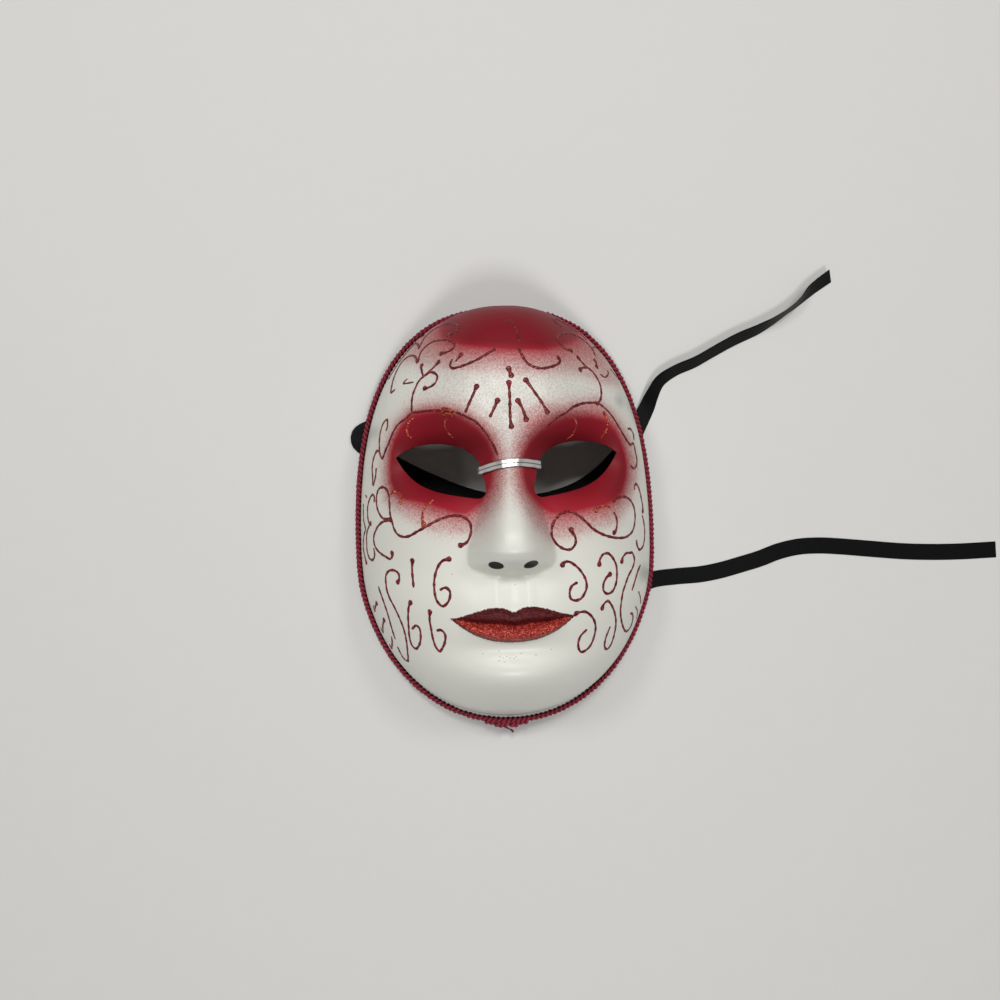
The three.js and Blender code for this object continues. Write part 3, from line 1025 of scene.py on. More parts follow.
class Maker:
    """Collects grids of points into one mesh, with values at the corners of its faces."""

    def __init__(self, *names: str) -> None:
        """Starts an empty mesh.

        Args:
            names: Names of the values that its grids give.
        """
        self.points: list[Array] = []
        self.faces: list[list[int]] = []
        self.slots: list[int] = []
        self.values: dict[str, list[Array]] = {name: [] for name in names}
        self.count = 0

    def grid(self, points: Array, around: bool = False, along: bool = False, caps: bool = False,
             slot: int = 0, **values: Array) -> None:
        """Adds a grid of quads.

        Args:
            points: Array of rows by columns by 3, in millimetres.
            around: Whether its last column joins its first.
            along: Whether its last row joins its first.
            caps: Whether its first and last rows are closed with flat faces.
            slot: The material's number.
            values: An array for each name, one row and column longer where the grid joins itself.
        """
        rows, cols = points.shape[:2]
        i, j = np.meshgrid(np.arange(rows - 1 + along), np.arange(cols - 1 + around), indexing="ij")
        corners = ((0, 0), (1, 0), (1, 1), (0, 1))
        quads = np.stack([(i + a) % rows * cols + (j + b) % cols for a, b in corners], axis=-1)
        self.faces += (quads.reshape(-1, 4) + self.count).tolist()
        for name, held in self.values.items():
            given = values[name]
            held.append(np.stack([given[i + a, j + b] for a, b in corners], axis=-1).ravel())
        if caps:
            ring = np.arange(cols)
            first, last = self.count + ring, self.count + (rows - 1) * cols + ring[::-1]
            self.faces += [first.tolist(), last.tolist()]
            for held in self.values.values():
                held.append(np.zeros(2 * cols))
        self.slots += [slot] * (len(self.faces) - len(self.slots))
        self.points.append(points.reshape(-1, 3))
        self.count += rows * cols

    def piece(self, name: str, *materials: Material, sharp: float = 50.0) -> Object:
        """Makes the object, which moves with the mask.

        Args:
            name: Its name.
            materials: Its materials, in the order of the slots' numbers.
            sharp: Edges with a greater angle than this, in degrees, stay crisp.

        Returns:
            The object.
        """
        mesh = bpy.data.meshes.new(name)
        mesh.from_pydata((np.vstack(self.points) * MM).tolist(), [], self.faces)
        mesh.polygons.foreach_set("material_index", self.slots)
        for key, held in self.values.items():
            mesh.attributes.new(key, "FLOAT", "CORNER").data.foreach_set("value", np.concatenate(held))
        made = put(name, mesh)
        dress(made, *materials, sharp=sharp)
        return made


def dress(made: Object, *materials: Material, sharp: float = 50.0) -> None:
    """Gives the object its materials and soft shading, and lets it move with the mask.

    Args:
        made: The object.
        materials: Its materials.
        sharp: Edges with a greater angle than this, in degrees, stay crisp.
    """
    for material in materials:
        made.data.materials.append(material)
    made.data.shade_smooth()
    made.data.set_sharp_from_angle(angle=math.radians(sharp))
    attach(made, "root")


def drop_flaps(mesh: bpy.types.Mesh) -> None:
    """Removes the pairs of faces, back to back, that a cut leaves at a hole's edge.

    Args:
        mesh: The mesh that was cut.
    """
    same_place, cap_corners = 1e-7, 40
    work = bmesh.new()
    work.from_mesh(mesh)
    bmesh.ops.remove_doubles(work, verts=work.verts, dist=same_place)
    bmesh.ops.triangulate(work, faces=[face for face in work.faces if len(face.verts) < cap_corners])
    work.verts.index_update()
    alike: dict[frozenset[int], list[bmesh.types.BMFace]] = {}
    for face in work.faces:
        alike.setdefault(frozenset(vertex.index for vertex in face.verts), []).append(face)
    flaps = [face for faces in alike.values() if len(faces) > 1 for face in faces]
    bmesh.ops.delete(work, geom=flaps, context="FACES")
    work.to_mesh(mesh)
    work.free()


def axes_round(ahead: Array, hint: Array | Triple) -> tuple[Array, Array]:
    """Two directions square to a line and to each other, the first of them square to hint too."""
    ahead = unit(ahead)
    across = unit(np.cross(hint, ahead))
    return across, np.cross(across, ahead)


def tube(centre: Array, ahead: Array, hint: Array | Triple, radius: Array, sides: int) -> Array:
    """Rings round a line.

    Args:
        centre: Points of the line, one row each.
        ahead: Directions of the line there.
        hint: A direction, or one for each point, that the rings' first points lie square to.
        radius: The rings' radii.
        sides: Points in a ring.

    Returns:
        An array of rings by sides by 3.
    """
    across, over = axes_round(ahead, hint)
    turn = np.linspace(0, 2 * math.pi, sides, endpoint=False)[:, None]
    ring = across[:, None] * np.cos(turn) + over[:, None] * np.sin(turn)
    return centre[:, None] + ring * np.reshape(radius, (-1, 1, 1))


@dataclass(frozen=True)
class Route:
    """Middle line of a ribbon, from its glued end to its cut end.

    Each row is a point, where the ribbon lies level across its way, or a point with the heading and the
    tilt of its width in degrees.
    """

    rows: tuple[tuple[float, ...], ...]

    def frames(self, step: float) -> tuple[Array, Array, Array, Array]:
        """Sections along the route.

        Args:
            step: Distance between sections.

        Returns:
            Their middles, the directions of their width, the directions over them, and their
            distances along the route.
        """
        points = np.array([row[:3] for row in self.rows])
        tangents = spline(points, np.arange(len(points), dtype=float))[1]
        widths = []
        for row, tangent in zip(self.rows, unit(tangents)):
            if len(row) > 3:
                heading, tilt = (math.radians(angle) for angle in row[3:])
                width = np.array([math.cos(heading), math.sin(heading), math.tan(tilt)])
            else:
                width = np.cross((0.0, 0.0, 1.0), tangent)
            width = unit(width)
            if widths and width @ widths[-1] < 0:
                width = -width
            widths.append(width)
        spans = even_spans(points, step)
        centre, ahead = spline(points, spans)
        across = spline(np.array(widths), spans)[0]
        over = np.cross(unit(ahead), across)
        size = np.linalg.norm(over, axis=1, keepdims=True)
        across = across / size
        return centre, across, over / size, distances(centre)


@dataclass(frozen=True)
class TieRibbon:
    """One flat satin ribbon: its name, route, width and thickness."""

    name: str
    route: Route
    width: float = 9.6
    thickness: float = 0.3
    step: float = 1.6
    columns: int = 13
    selvedge: float = 0.08
    selvedge_thinning: float = 0.35

    def build(self, satin: Material) -> Object:
        """Makes the ribbon.

        Args:
            satin: Its material.

        Returns:
            The object.
        """
        centre, across, over, run = self.route.frames(self.step)
        share = np.linspace(-1, 1, self.columns)
        ring = np.concatenate([share, share[::-1]])
        side = np.concatenate([np.ones(self.columns), -np.ones(self.columns)])
        rim = 1 - self.selvedge_thinning * bell((1 - np.abs(ring)) / self.selvedge)
        offset = across[:, None] * (ring * self.width / 2)[None, :, None]
        thick = over[:, None] * (side * rim * self.thickness / 2)[None, :, None]
        wrapped = np.append(ring, ring[0])
        shape = (len(run), len(wrapped))
        maker = Maker("lengthwise", "crosswise")
        maker.grid(
            centre[:, None] + offset + thick, around=True, caps=True,
            lengthwise=np.broadcast_to(run[:, None], shape), crosswise=np.broadcast_to(wrapped, shape),
        )
        made = maker.piece(self.name, satin)
        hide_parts(self.name)
        return made


@dataclass(frozen=True)
class AirbrushPatch:
    """A patch of airbrushed red, outlined as it shows in the photograph.

    Inside the first outline the paint covers the white, and at the second it has thinned to a mist, which
    dies away over mist_reach. Further in, layers lie over each other.
    """

    full: tuple[Point, ...]
    faded: tuple[Point, ...]
    layers: float
    layers_reach: float
    mist_reach: float = 3.0
    mist_density: float = 0.42
    fade: float = 0.5
    cover: float = 0.08
    cover_reach: float = 1.5

    def strength(self, x: Array, y: Array) -> tuple[Array, Array]:
        """How dense the paint is at points of the face, and how much it is layered, from 0 to 1.

        Args:
            x: Places to the right.
            y: Places up the face.

        Returns:
            The density and the layers.
        """
        full, faded = (
            signed_distance(x, y, VIEW.on_face(np.array(line))[:, :2]) for line in (self.full, self.faded)
        )
        inner, outer = np.maximum(faded, 0), np.maximum(-full, 0)
        between = inner / np.maximum(inner + outer, 1e-6)
        strength = self.mist_density + self.fade * between + self.cover * smooth(full / self.cover_reach)
        strength = strength * np.exp(np.minimum(faded, 0) / self.mist_reach)
        return strength, self.layers * smooth((full + 1.0) / self.layers_reach)


def signed_distance(x: Array, y: Array, corners: Array) -> Array:
    """Distance in from the edge of a polygon, less than 0 outside it.

    Args:
        x: Places to the right.
        y: Places up the face.
        corners: The polygon's corners, one row each.

    Returns:
        The distances.
    """
    nearest = np.full(x.shape, math.inf)
    inside = np.zeros(x.shape, dtype=bool)
    for (ax, ay), (bx, by) in zip(corners, np.roll(corners, -1, axis=0)):
        dx, dy = bx - ax, by - ay
        t = clamp(((x - ax) * dx + (y - ay) * dy) / (dx * dx + dy * dy))
        nearest = np.minimum(nearest, np.hypot(x - ax - t * dx, y - ay - t * dy))
        if ay != by:
            inside ^= ((ay > y) != (by > y)) & (x < dx * (y - ay) / dy + ax)
    return np.where(inside, nearest, -nearest)


LEFT_EYE_PAINT = AirbrushPatch(
    full=(
        (495, 453.5), (489, 440), (480, 429), (468, 420.5), (455.5, 413.5), (441, 410), (426, 411),
        (410, 414), (399.5, 427), (392.5, 440.5), (389.5, 454), (388.5, 468), (389.5, 482), (393.5, 493),
        (402, 500.5), (417, 503.5), (432, 507), (445, 511), (457, 515), (466, 515), (474, 510),
        (482, 504), (488, 495), (492, 486), (494.5, 472),
    ),
    faded=(
        (506, 450), (498, 434), (487, 421.5), (473, 411.5), (457.5, 405), (441, 402), (424, 403),
        (407, 409), (395, 422), (387.5, 437), (384, 453), (382, 468), (382, 484), (385, 500), (396, 510),
        (409, 517), (420, 524), (433, 530), (450, 532), (466, 532), (479, 527), (489, 515), (498, 505),
        (504, 492), (508, 472),
    ),
    layers=0.34, layers_reach=4.5,
)
RIGHT_EYE_PAINT = AirbrushPatch(
    full=(
        (522.5, 453), (529.5, 440), (539.5, 429.5), (551.5, 422), (564, 416.5), (578, 415), (592, 415.5),
        (606.5, 418.5), (616.5, 429.5), (622.5, 442), (626.5, 455), (628.5, 468), (627, 481), (623, 494),
        (614, 502.5), (604, 507), (590, 509.5), (576, 513), (562, 515), (550, 514), (541, 508),
        (533, 500), (526, 490), (522, 476),
    ),
    faded=(
        (512, 450), (518, 433), (522, 412), (541, 404), (561, 404), (578, 400), (597, 398), (611.5, 410),
        (622.5, 424), (630, 438), (635, 452), (637.5, 468), (636, 484), (630, 502), (618, 520),
        (602, 526), (585, 531), (568, 536), (550, 538), (537, 526), (527, 512), (518, 498), (512, 484),
        (510, 468),
    ),
    layers=0.34, layers_reach=4.5,
)
FOREHEAD_PAINT = AirbrushPatch(
    full=(
        (438, 322), (440, 337), (449, 343.5), (462, 347), (480, 349), (500, 350.5), (520, 351.5),
        (545, 351.5), (562, 348), (572, 344.5), (580, 341), (574, 326), (554, 302), (515, 290),
        (466, 302),
    ),
    faded=(
        (392, 350), (402, 361), (424, 363), (446, 367), (472, 369), (500, 370), (530, 373), (556, 371),
        (580, 372), (604, 382), (618, 384), (616, 356), (600, 330), (570, 298), (515, 280), (440, 300),
    ),
    layers=0.56, layers_reach=6.0,
)


@dataclass(frozen=True)
class FaceShell:
    """The moulded face: its outer side, its edge, its plainer inner side and its four holes."""

    rays: int = 320
    outer_rings: int = 180
    outer_start: float = 0.003
    inner_rings: int = 40
    inner_start: float = 0.01
    hole_bottom: float = 20.0
    hole_top: float = 110.0
    # Height of the band along the shell's edge that turns dark crimson: glue stain and painted contact
    # shade by the braid.
    glue_and_shade_line: float = 6.4
    patches: tuple[AirbrushPatch, ...] = (LEFT_EYE_PAINT, RIGHT_EYE_PAINT, FOREHEAD_PAINT)
    # Three painted shadows of the ribbons that show through the plastic near its edge, and one small grey
    # dot.
    smudges_and_shadows: tuple[Mound, ...] = (
        Mound(1.0, -72.0, 47.0, 4.0, 4.0, 2.6), Mound(1.0, 62.0, 60.0, 3.5, 3.5, 2.6),
        Mound(1.0, 74.0, -34.0, 4.5, 4.5, 2.6), Mound(1.0, -25.0, -6.0, 0.8, 0.8, 2.6),
    )
    # Painted shade in the dark crimson above the eye holes, and painted light that thins it below them.
    shade_above_hole: Zone = Zone(0.35, 33.0, 25.0, 24.0, 6.0, 46.0, 9.0, 3.0)
    light_below_hole: Zone = Zone(0.75, 34.0, 30.0, -20.0, 6.0, 12.0, 8.0, 3.0)
    beside_hole: Mound = Mound(0.3, 62.0, 14.0, 11.0, 24.0)
    forehead_mist: Zone = Zone(0.7, 0.0, 60.0, 24.0, 22.0, flat=3.0)
    middle_mist: Zone = Zone(0.35, 0.0, 14.0, 2.0, 16.0, 66.0, 20.0)
    edge_reach: float = 1.5
    edge_red: float = 0.9
    edge_deep: float = 0.75
    lip_corner: float = 0.8
    lip_corner_slope: float = 0.9
    parting_reach: float = 1.2

    def grid(self) -> Array:
        """Points of the shell, from the middle of its outer side round the edge to the middle inside.

        Returns:
            An array of rings by rays by 3.
        """
        turn = np.linspace(0, 2 * math.pi, self.rays, endpoint=False)
        outer = np.sin(np.linspace(self.outer_start, math.pi / 2, self.outer_rings))
        inner = np.sin(np.linspace(math.pi / 2, self.inner_start, self.inner_rings))
        rows = []
        for reaches, inset, wall in (
            (outer, FACE.shell_inset, 0.0), (inner, FACE.shell_inset + FACE.wall, FACE.wall),
        ):
            x, y = FACE.on_ray(turn[None, :], reaches[:, None], inset)
            rows.append(np.stack([x, y, FACE.height(x, y, wall)], axis=-1))
        return np.vstack(rows)

    def cutters(self) -> Object:
        """Upright prisms through the eyes and the nostrils.

        Returns:
            The prisms as one object.
        """
        maker = Maker()
        for side in (-1, 1):
            for outline in (FACE.eye_outline(side), FACE.nostril_outline(side)):
                ring = outline[::-1] if side > 0 else outline
                levels = np.linspace(self.hole_bottom, self.hole_top, 2)
                prism = np.stack([np.column_stack([ring, np.full(len(ring), z)]) for z in levels])
                maker.grid(prism, around=True, caps=True)
        return maker.piece("hole_cutters")

    def paint(self, x: Array, y: Array) -> dict[str, Array]:
        """Where the paint, the painted shade and the painted shadows lie, for points of the face.

        Args:
            x: Places to the right.
            y: Places up the face.

        Returns:
            Arrays by name: how dense the red and its dark part are, with painted shade in the dark part;
                the pink mist;
            the smudges, which are painted ribbon shadows and one grey dot; the distance in from the edge of
            the lips;
            and whether a point is on the lower one.
        """
        ax = np.abs(x)
        strengths, layers = zip(*(patch.strength(x, y) for patch in self.patches))
        red = np.maximum.reduce(strengths)
        # Dark crimson: layered paint, more of it beside the holes, painted shade added above the holes, and
        # painted light taking it away below them.
        deep = np.maximum.reduce(layers) * (1 - self.light_below_hole.at(ax, y))
        deep = clamp(deep + self.shade_above_hole.at(ax, y) + self.beside_hole.at(ax, y))
        # Painted ribbon shadows and one grey dot.
        smudge_and_shadow = sum(mound.oval_at(x, y) for mound in self.smudges_and_shadows)
        # Glue stain and painted contact shade: the shell's lowest band, next to the braid, turns dark
        # crimson.
        edge = smooth((self.glue_and_shade_line - FACE.height(x, y) + FACE.rim_lift(y)) / self.edge_reach)
        top, parting, bottom = FACE.lip_lines(ax)
        corner = (FACE.lip_half + self.lip_corner - ax) * self.lip_corner_slope
        return {
            "red": np.maximum(red, self.edge_red * edge),
            "deep": np.maximum(deep, self.edge_deep * edge),
            "mist": self.forehead_mist.at(ax, y) + self.middle_mist.at(ax, y),
            "smudge_and_shadow": clamp(smudge_and_shadow),
            "lip": np.minimum(np.minimum(top - y, y - bottom), corner),
            "lower_lip": smooth((parting - y) / self.parting_reach + 0.5),
        }

    def build(self, plastic: Material, inside: Material) -> Object:
        """Makes the shell.

        Args:
            plastic: Material of its outer side.
            inside: Material of its inner side and of the holes' walls.

        Returns:
            The object.
        """
        maker = Maker()
        maker.grid(self.grid(), around=True, caps=True)
        quads = np.arange(len(maker.faces))
        maker.slots = np.where(quads // self.rays < self.outer_rings, 0, 1).tolist()
        maker.slots[-2] = 0
        shell = maker.piece("mask_shell_moulded", plastic, inside)
        cutters = self.cutters()
        for material in (plastic, inside):
            cutters.data.materials.append(material)
        cutters.data.polygons.foreach_set("material_index", [1] * len(cutters.data.polygons))
        cut = shell.modifiers.new("holes", "BOOLEAN")
        cut.operation, cut.solver, cut.object = "DIFFERENCE", "EXACT", cutters
        drawn = bpy.context.evaluated_depsgraph_get()
        mesh = bpy.data.meshes.new_from_object(shell.evaluated_get(drawn))
        for spare in (shell, cutters):
            bpy.data.objects.remove(spare)
        drop_flaps(mesh)
        mesh.materials.clear()
        made = put("moulded_face", mesh)
        dress(made, plastic, inside, sharp=38.0)
        at = np.empty(3 * len(mesh.vertices))
        mesh.vertices.foreach_get("co", at)
        x, y = at.reshape(-1, 3)[:, 0] / MM, at.reshape(-1, 3)[:, 1] / MM
        for name, values in self.paint(x, y).items():
            mesh.attributes.new(name, "FLOAT", "POINT").data.foreach_set("value", values)
        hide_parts("mask_shell")
        return made


@dataclass(frozen=True)
class BraidLine:
    """A length of the braid's middle line: points, directions outward and up, and distances along it."""

    points: Array
    outward: Array
    up: Array
    at: Array


@dataclass(frozen=True)
class EdgeBraid:
    """Three-strand plait along the edge of the mask, joined at the chin with a few loose fibres."""

    strand: float = 0.84
    sides: int = 8
    pitch: float = 8.2
    swing: float = 1.36
    depth: float = 0.81
    step: float = 0.55
    line_points: int = 2881
    seed: int = 5
    join: float = -2.5
    join_half: float = 12.5
    join_y: float = -100.0
    lap_out: float = 2.3
    lap_drop: float = 0.4
    lap_swing: float = 1.25
    lap_drift: float = 0.5
    lap_drift_rate: float = 0.8
    tip: float = 0.35
    tip_taper: float = 1.5
    waver: float = 0.05
    waver_orders: tuple[int, int, int] = (3, 60, 4)
    waver_phases: Point = (0.0, 6.28)
    waver_up: float = 0.4
    waver_out: float = 0.25
    waver_thick: float = 0.35
    # Least share out of the painted shade, at the sides of a strand.
    groove_shade: float = 0.45
    fibre_lay: Point = (5.0, 4.0)
    table_gap: float = 0.02
    end: tuple[Triple, ...] = (
        (-4.6, -119.6, 13.6), (-3.3, -120.6, 13), (-1.5, -121.9, 12.4), (0, -122.8, 11.8),
        (0.9, -124.2, 11),
    )
    end_half: float = 0.5
    end_sides: int = 6
    end_rings: int = 14
    end_knots: float = 9.0
    end_unshaded: float = 0.6
    fibres: int = 16
    fibre_half: float = 0.09
    fibre_sides: int = 4
    fibre_rings: int = 7
    fibre_root: float = 0.9
    fibre_reach: Point = (1.6, 3.6)
    fibre_scatter: Triple = (0.7, 0.21, 0.35)
    fibre_bend: Triple = (0.8, 0.32, 0.24)

    def line(self) -> BraidLine:
        """Middle line of the whole braid.

        Returns:
            The line, evenly divided.
        """
        turn = np.linspace(0, 2 * math.pi, self.line_points)
        x, y = FACE.on_ray(turn, np.ones_like(turn), FACE.braid_thickness / 2)
        z = FACE.rim_lift(y) + FACE.braid_height / 2
        fine = np.column_stack([x, y, z])
        run = distances(fine)
        count = int(round(run[-1] / self.step))
        at = np.linspace(0, run[-1], count, endpoint=False)
        points = np.column_stack([np.interp(at, run, column) for column in fine.T])
        ahead = unit(np.roll(points, -1, axis=0) - np.roll(points, 1, axis=0))
        outward = unit(np.cross(ahead, (0.0, 0.0, 1.0)))
        return BraidLine(points, outward, np.cross(outward, ahead), at)

    def near_join(self, points: Array) -> Array:
        """Numbers of the points near the join at the chin."""
        beside = np.abs(points[:, 0] - self.join) < self.join_half
        return np.flatnonzero(beside & (points[:, 1] < self.join_y))

    def uneven(self, share: Array, random: np.random.Generator) -> Array:
        """Slow waver of a strand, at shares of its length.

        Args:
            share: Shares of its length.
            random: Source of its chances.

        Returns:
            The waver there.
        """
        waver = np.zeros_like(share)
        for order in range(*self.waver_orders):
            height = random.normal(0, self.waver)
            waver += height * np.sin(2 * math.pi * order * share + random.uniform(*self.waver_phases))
        return waver

    def strands(self, maker: Maker, random: np.random.Generator, line: BraidLine, closed: bool) -> None:
        """Adds the three strands of one length of braid.

        Args:
            maker: The mesh they go into.
            random: Source of their unevenness.
            line: The length's middle line.
            closed: Whether it runs all the way round, and otherwise its ends thin out.
        """
        run = line.at - line.at[0]
        length = run[-1] + run[1] if closed else run[-1]
        turns = round(length / self.pitch)
        ends = 1.0 if closed else clamp(np.minimum(run, length - run) / self.tip_taper + self.tip)
        turn = np.arange(self.sides + 1) * 2 * math.pi / self.sides
        for strand in range(3):
            phase = 2 * math.pi * (run / length * turns + strand / 3)
            waver = self.uneven(run / length, random)
            rise = (self.swing + self.waver_up * waver) * np.sin(phase)
            out = (self.depth + self.waver_out * waver) * np.sin(2 * phase)
            if not closed:
                out = out * self.lap_swing + self.lap_drift * np.sin(self.lap_drift_rate * run + 1.0)
            centre = line.points + line.up * rise[:, None] + line.outward * out[:, None]
            ahead = np.gradient(centre, axis=0)
            if closed:
                ahead = np.roll(centre, -1, axis=0) - np.roll(centre, 1, axis=0)
            radius = self.strand * (1 + self.waver_thick * waver) * ends
            rings = tube(centre, ahead, line.up, radius, self.sides)
            rings[..., 2] = np.maximum(rings[..., 2], self.table_gap)
            # Painted shade: full yarn colour at the top and bottom of each lump, shade at its sides and
            # between lumps.
            unshaded = self.groove_shade + (1 - self.groove_shade) * np.abs(np.sin(turn))
            unshaded = np.abs(np.sin(phase))[:, None] * unshaded
            run_on = run
            if closed:
                run_on, unshaded = np.append(run, length), np.vstack([unshaded, unshaded[:1]])
            round_lay, long_lay = self.fibre_lay
            maker.grid(rings, around=True, along=closed, caps=not closed,
                       fibre=round_lay * turn[None, :] + run_on[:, None] * long_lay, unshaded=unshaded)

    def build(self, yarn: Material) -> Object:
        """Makes the braid.

        Args:
            yarn: Its material.

        Returns:
            The object.
        """
        random = np.random.default_rng(self.seed)
        line = self.line()
        maker = Maker("fibre", "unshaded")
        self.strands(maker, random, line, closed=True)
        near = self.near_join(line.points)
        outward, up = line.outward[near], line.up[near]
        share = np.linspace(-1, 1, len(near))[:, None]
        lap = line.points[near] + outward * self.lap_out * (1 - share**4) - up * self.lap_drop
        self.strands(maker, random, BraidLine(lap, outward, up, line.at[near]), closed=False)
        for _ in range(self.fibres):
            self.loose_fibre(maker, random, line)
        self.loose_end(maker)
        made = maker.piece("plaited_edge", yarn, sharp=80.0)
        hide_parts("edge_braid")
        return made

    def loose_end(self, maker: Maker) -> None:
        """Adds the cut end of one strand, which hangs off the join at the chin.

        Args:
            maker: The mesh it goes into.
        """
        spans = np.linspace(0, len(self.end) - 1, self.end_rings)
        centre, ahead = spline(np.array(self.end), spans)
        knots = np.sin(np.linspace(0, self.end_knots, self.end_rings))
        radius = self.end_half * (1 + self.waver_thick * knots)
        rings = tube(centre, ahead, (0.0, 0.0, 1.0), radius, self.end_sides)
        shape = (self.end_rings, self.end_sides + 1)
        # The loose end lies partly in painted shade all along it.
        maker.grid(rings, around=True, caps=True, fibre=np.zeros(shape),
                   unshaded=np.full(shape, self.end_unshaded))

    def loose_fibre(self, maker: Maker, random: np.random.Generator, line: BraidLine) -> None:
        """Adds one fine hair that springs from the join at the chin.

        Args:
            maker: The mesh it goes into.
            random: Source of its chances.
            line: The braid's middle line.
        """
        i = random.choice(self.near_join(line.points))
        outward = line.outward[i]
        away = unit(outward + random.normal(size=3) * self.fibre_scatter)
        bend = random.normal(size=3) * self.fibre_bend
        reach = random.uniform(*self.fibre_reach)
        t = np.linspace(0, 1, self.fibre_rings)[:, None]
        centre = line.points[i] + outward * self.fibre_root + away * reach * t + bend * t * t
        radius = self.fibre_half * (1 - 0.5 * t[:, 0])
        rings = tube(centre, np.gradient(centre, axis=0), line.up[i], radius, self.fibre_sides)
        shape = (self.fibre_rings, self.fibre_sides + 1)
        # The loose fibres have no painted shade.
        maker.grid(rings, around=True, caps=True, fibre=np.zeros(shape), unshaded=np.ones(shape))


@dataclass(frozen=True)
class BridgeTie:
    """Foil tie round the bridge of the nose, pressed into two ridges, with its twisted ends behind."""

    width: float = 4.0
    thickness: float = 0.5
    x: float = 0.4
    y: float = 26.2
    slope: float = 0.075
    arch: float = 1.9
    half_width: float = 15.45
    stand: float = 0.7
    side_lift: float = 0.8
    side_power: float = 3.0
    back: float = 56.5
    sag: float = 1.0
    steps: int = 14
    step: float = 0.45
    columns: int = 15
    ridge: float = 0.275
    front_start: float = 60.0
    front_reach: float = 4.0
    crease_x: float = 2.4
    crease_half: float = 0.5
    crease_depth: float = 0.3
    crease_pinch: float = 0.12
    waist: float = 0.03
    waist_rate: float = 2.3
    crumple: float = 0.05
    twist: tuple[Triple, ...] = (
        (0.4, 26.2, 56.3), (-0.2, 26.2, 54.7), (-3.4, 26.1, 54.2), (-8.2, 26.4, 54.5),
    )
    twist_turns: float = 3.5
    twist_rings: int = 43
    wire: float = 0.42
    wire_sides: int = 8
    seed: int = 11

    def loop(self) -> tuple[Array, Array]:
        """Points round the loop, over the nose and back behind it, and the directions of its width.

        Returns:
            The points and the directions, one row each.
        """
        front, back = [], []
        for i in range(self.steps + 1):
            share = 1 - 2 * i / self.steps
            x = self.x + self.half_width * share
            y = self.y + self.slope * x - self.arch * share**2
            low, high = (float(FACE.height(np.array(x), np.array(y + k * self.width / 2))) for k in (-1, 1))
            across = unit(np.array([0, self.width, high - low]))
            rise = self.stand + self.thickness / 2 + self.side_lift * abs(share) ** self.side_power
            front.append((np.array([x, y, (high + low) / 2 + rise]), across))
            level = self.back - self.sag * (1 - share**4)
            back.append((np.array([x, y, level]), np.array([0.0, 1.0, 0.0])))
        points, widths = zip(*front, *reversed(back))
        return np.array(points), np.array(widths)

    def twisted_wire(self, maker: Maker, start: float) -> None:
        """Adds one of the two wires that are twisted together behind the bridge.

        Args:
            maker: The mesh it goes into.
            start: Where it starts round the pair's middle line, in radians.
        """
        hint = (0.0, 1.0, 0.0)
        share = np.linspace(0, 1, self.twist_rings)
        centre, ahead = spline(np.array(self.twist), share * (len(self.twist) - 1))
        across, under = axes_round(ahead, hint)
        turn = (start + 2 * math.pi * self.twist_turns * share)[:, None]
        centre = centre + self.wire * (across * np.cos(turn) - under * np.sin(turn))
        rings = tube(centre, ahead, hint, np.full(self.twist_rings, self.wire), self.wire_sides)
        shape = (self.twist_rings, self.wire_sides + 1)
        # A crosswise share of 0 puts the whole wire in the painted groove shade.
        maker.grid(rings, around=True, caps=True, crosswise=np.zeros(shape))

    def build(self, foil: Material) -> Object:
        """Makes the tie.

        Args:
            foil: Its material.

        Returns:
            The object.
        """
        random = np.random.default_rng(self.seed)
        points, widths = self.loop()
        closed = [np.vstack([array, array[:1]]) for array in (points, widths)]
        spans = even_spans(closed[0], self.step)[:-1]
        centre, ahead = spline(closed[0], spans)
        across = unit(spline(closed[1], spans)[0])
        over = unit(np.cross(unit(ahead), across))
        share = np.linspace(-1, 1, self.columns)
        half = self.thickness / 2
        ridges = self.ridge * np.cos(2 * math.pi * share)
        ridges[[0, -1]] = 0
        ring = np.concatenate([share, share[::-1]])
        lift = np.concatenate([half - ridges, np.full(self.columns, -half)])
        front = smooth((centre[:, 2] - self.front_start) / self.front_reach)
        crease = bell((centre[:, 0] - self.crease_x) / self.crease_half) * front
        rough = random.normal(0, self.crumple, (len(spans), len(ring)))
        rough[:, self.columns:] = 0
        pinch = 1 - self.crease_pinch * crease + self.waist * np.sin(spans * self.waist_rate)
        offset = across[:, None] * (ring[None, :, None] * self.width / 2 * pinch[:, None, None])
        raised = lift[None, :] + rough - self.crease_depth * crease[:, None] * (lift > 0)[None, :]
        points = centre[:, None] + offset + over[:, None] * raised[..., None]
        maker = Maker("crosswise")
        crosswise = np.broadcast_to(np.append(ring, ring[0]), (len(spans) + 1, len(ring) + 1))
        maker.grid(points, around=True, along=True, crosswise=crosswise)
        for turn in (0.0, math.pi):
            self.twisted_wire(maker, turn)
        made = maker.piece("foil_band", foil, sharp=30.0)
        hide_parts("bridge_tie")
        return made


class Weight(Enum):
    """How wide a stroke of glitter glue is, in millimetres."""

    SPECK = 0.5
    FINE = 1.05
    PLAIN = 1.45
    THICK = 2.1


class Glue(Enum):
    """Which glitter a stroke has: the number of its material."""

    DARK = 0
    RED = 1


@dataclass(frozen=True)
class Stroke:
    """A line of glitter glue, as it shows in the photograph, and whether it starts and ends in a blob."""

    pixels: tuple[Point, ...]
    start: bool = False
    end: bool = False
    weight: Weight = Weight.PLAIN
    glue: Glue = Glue.DARK


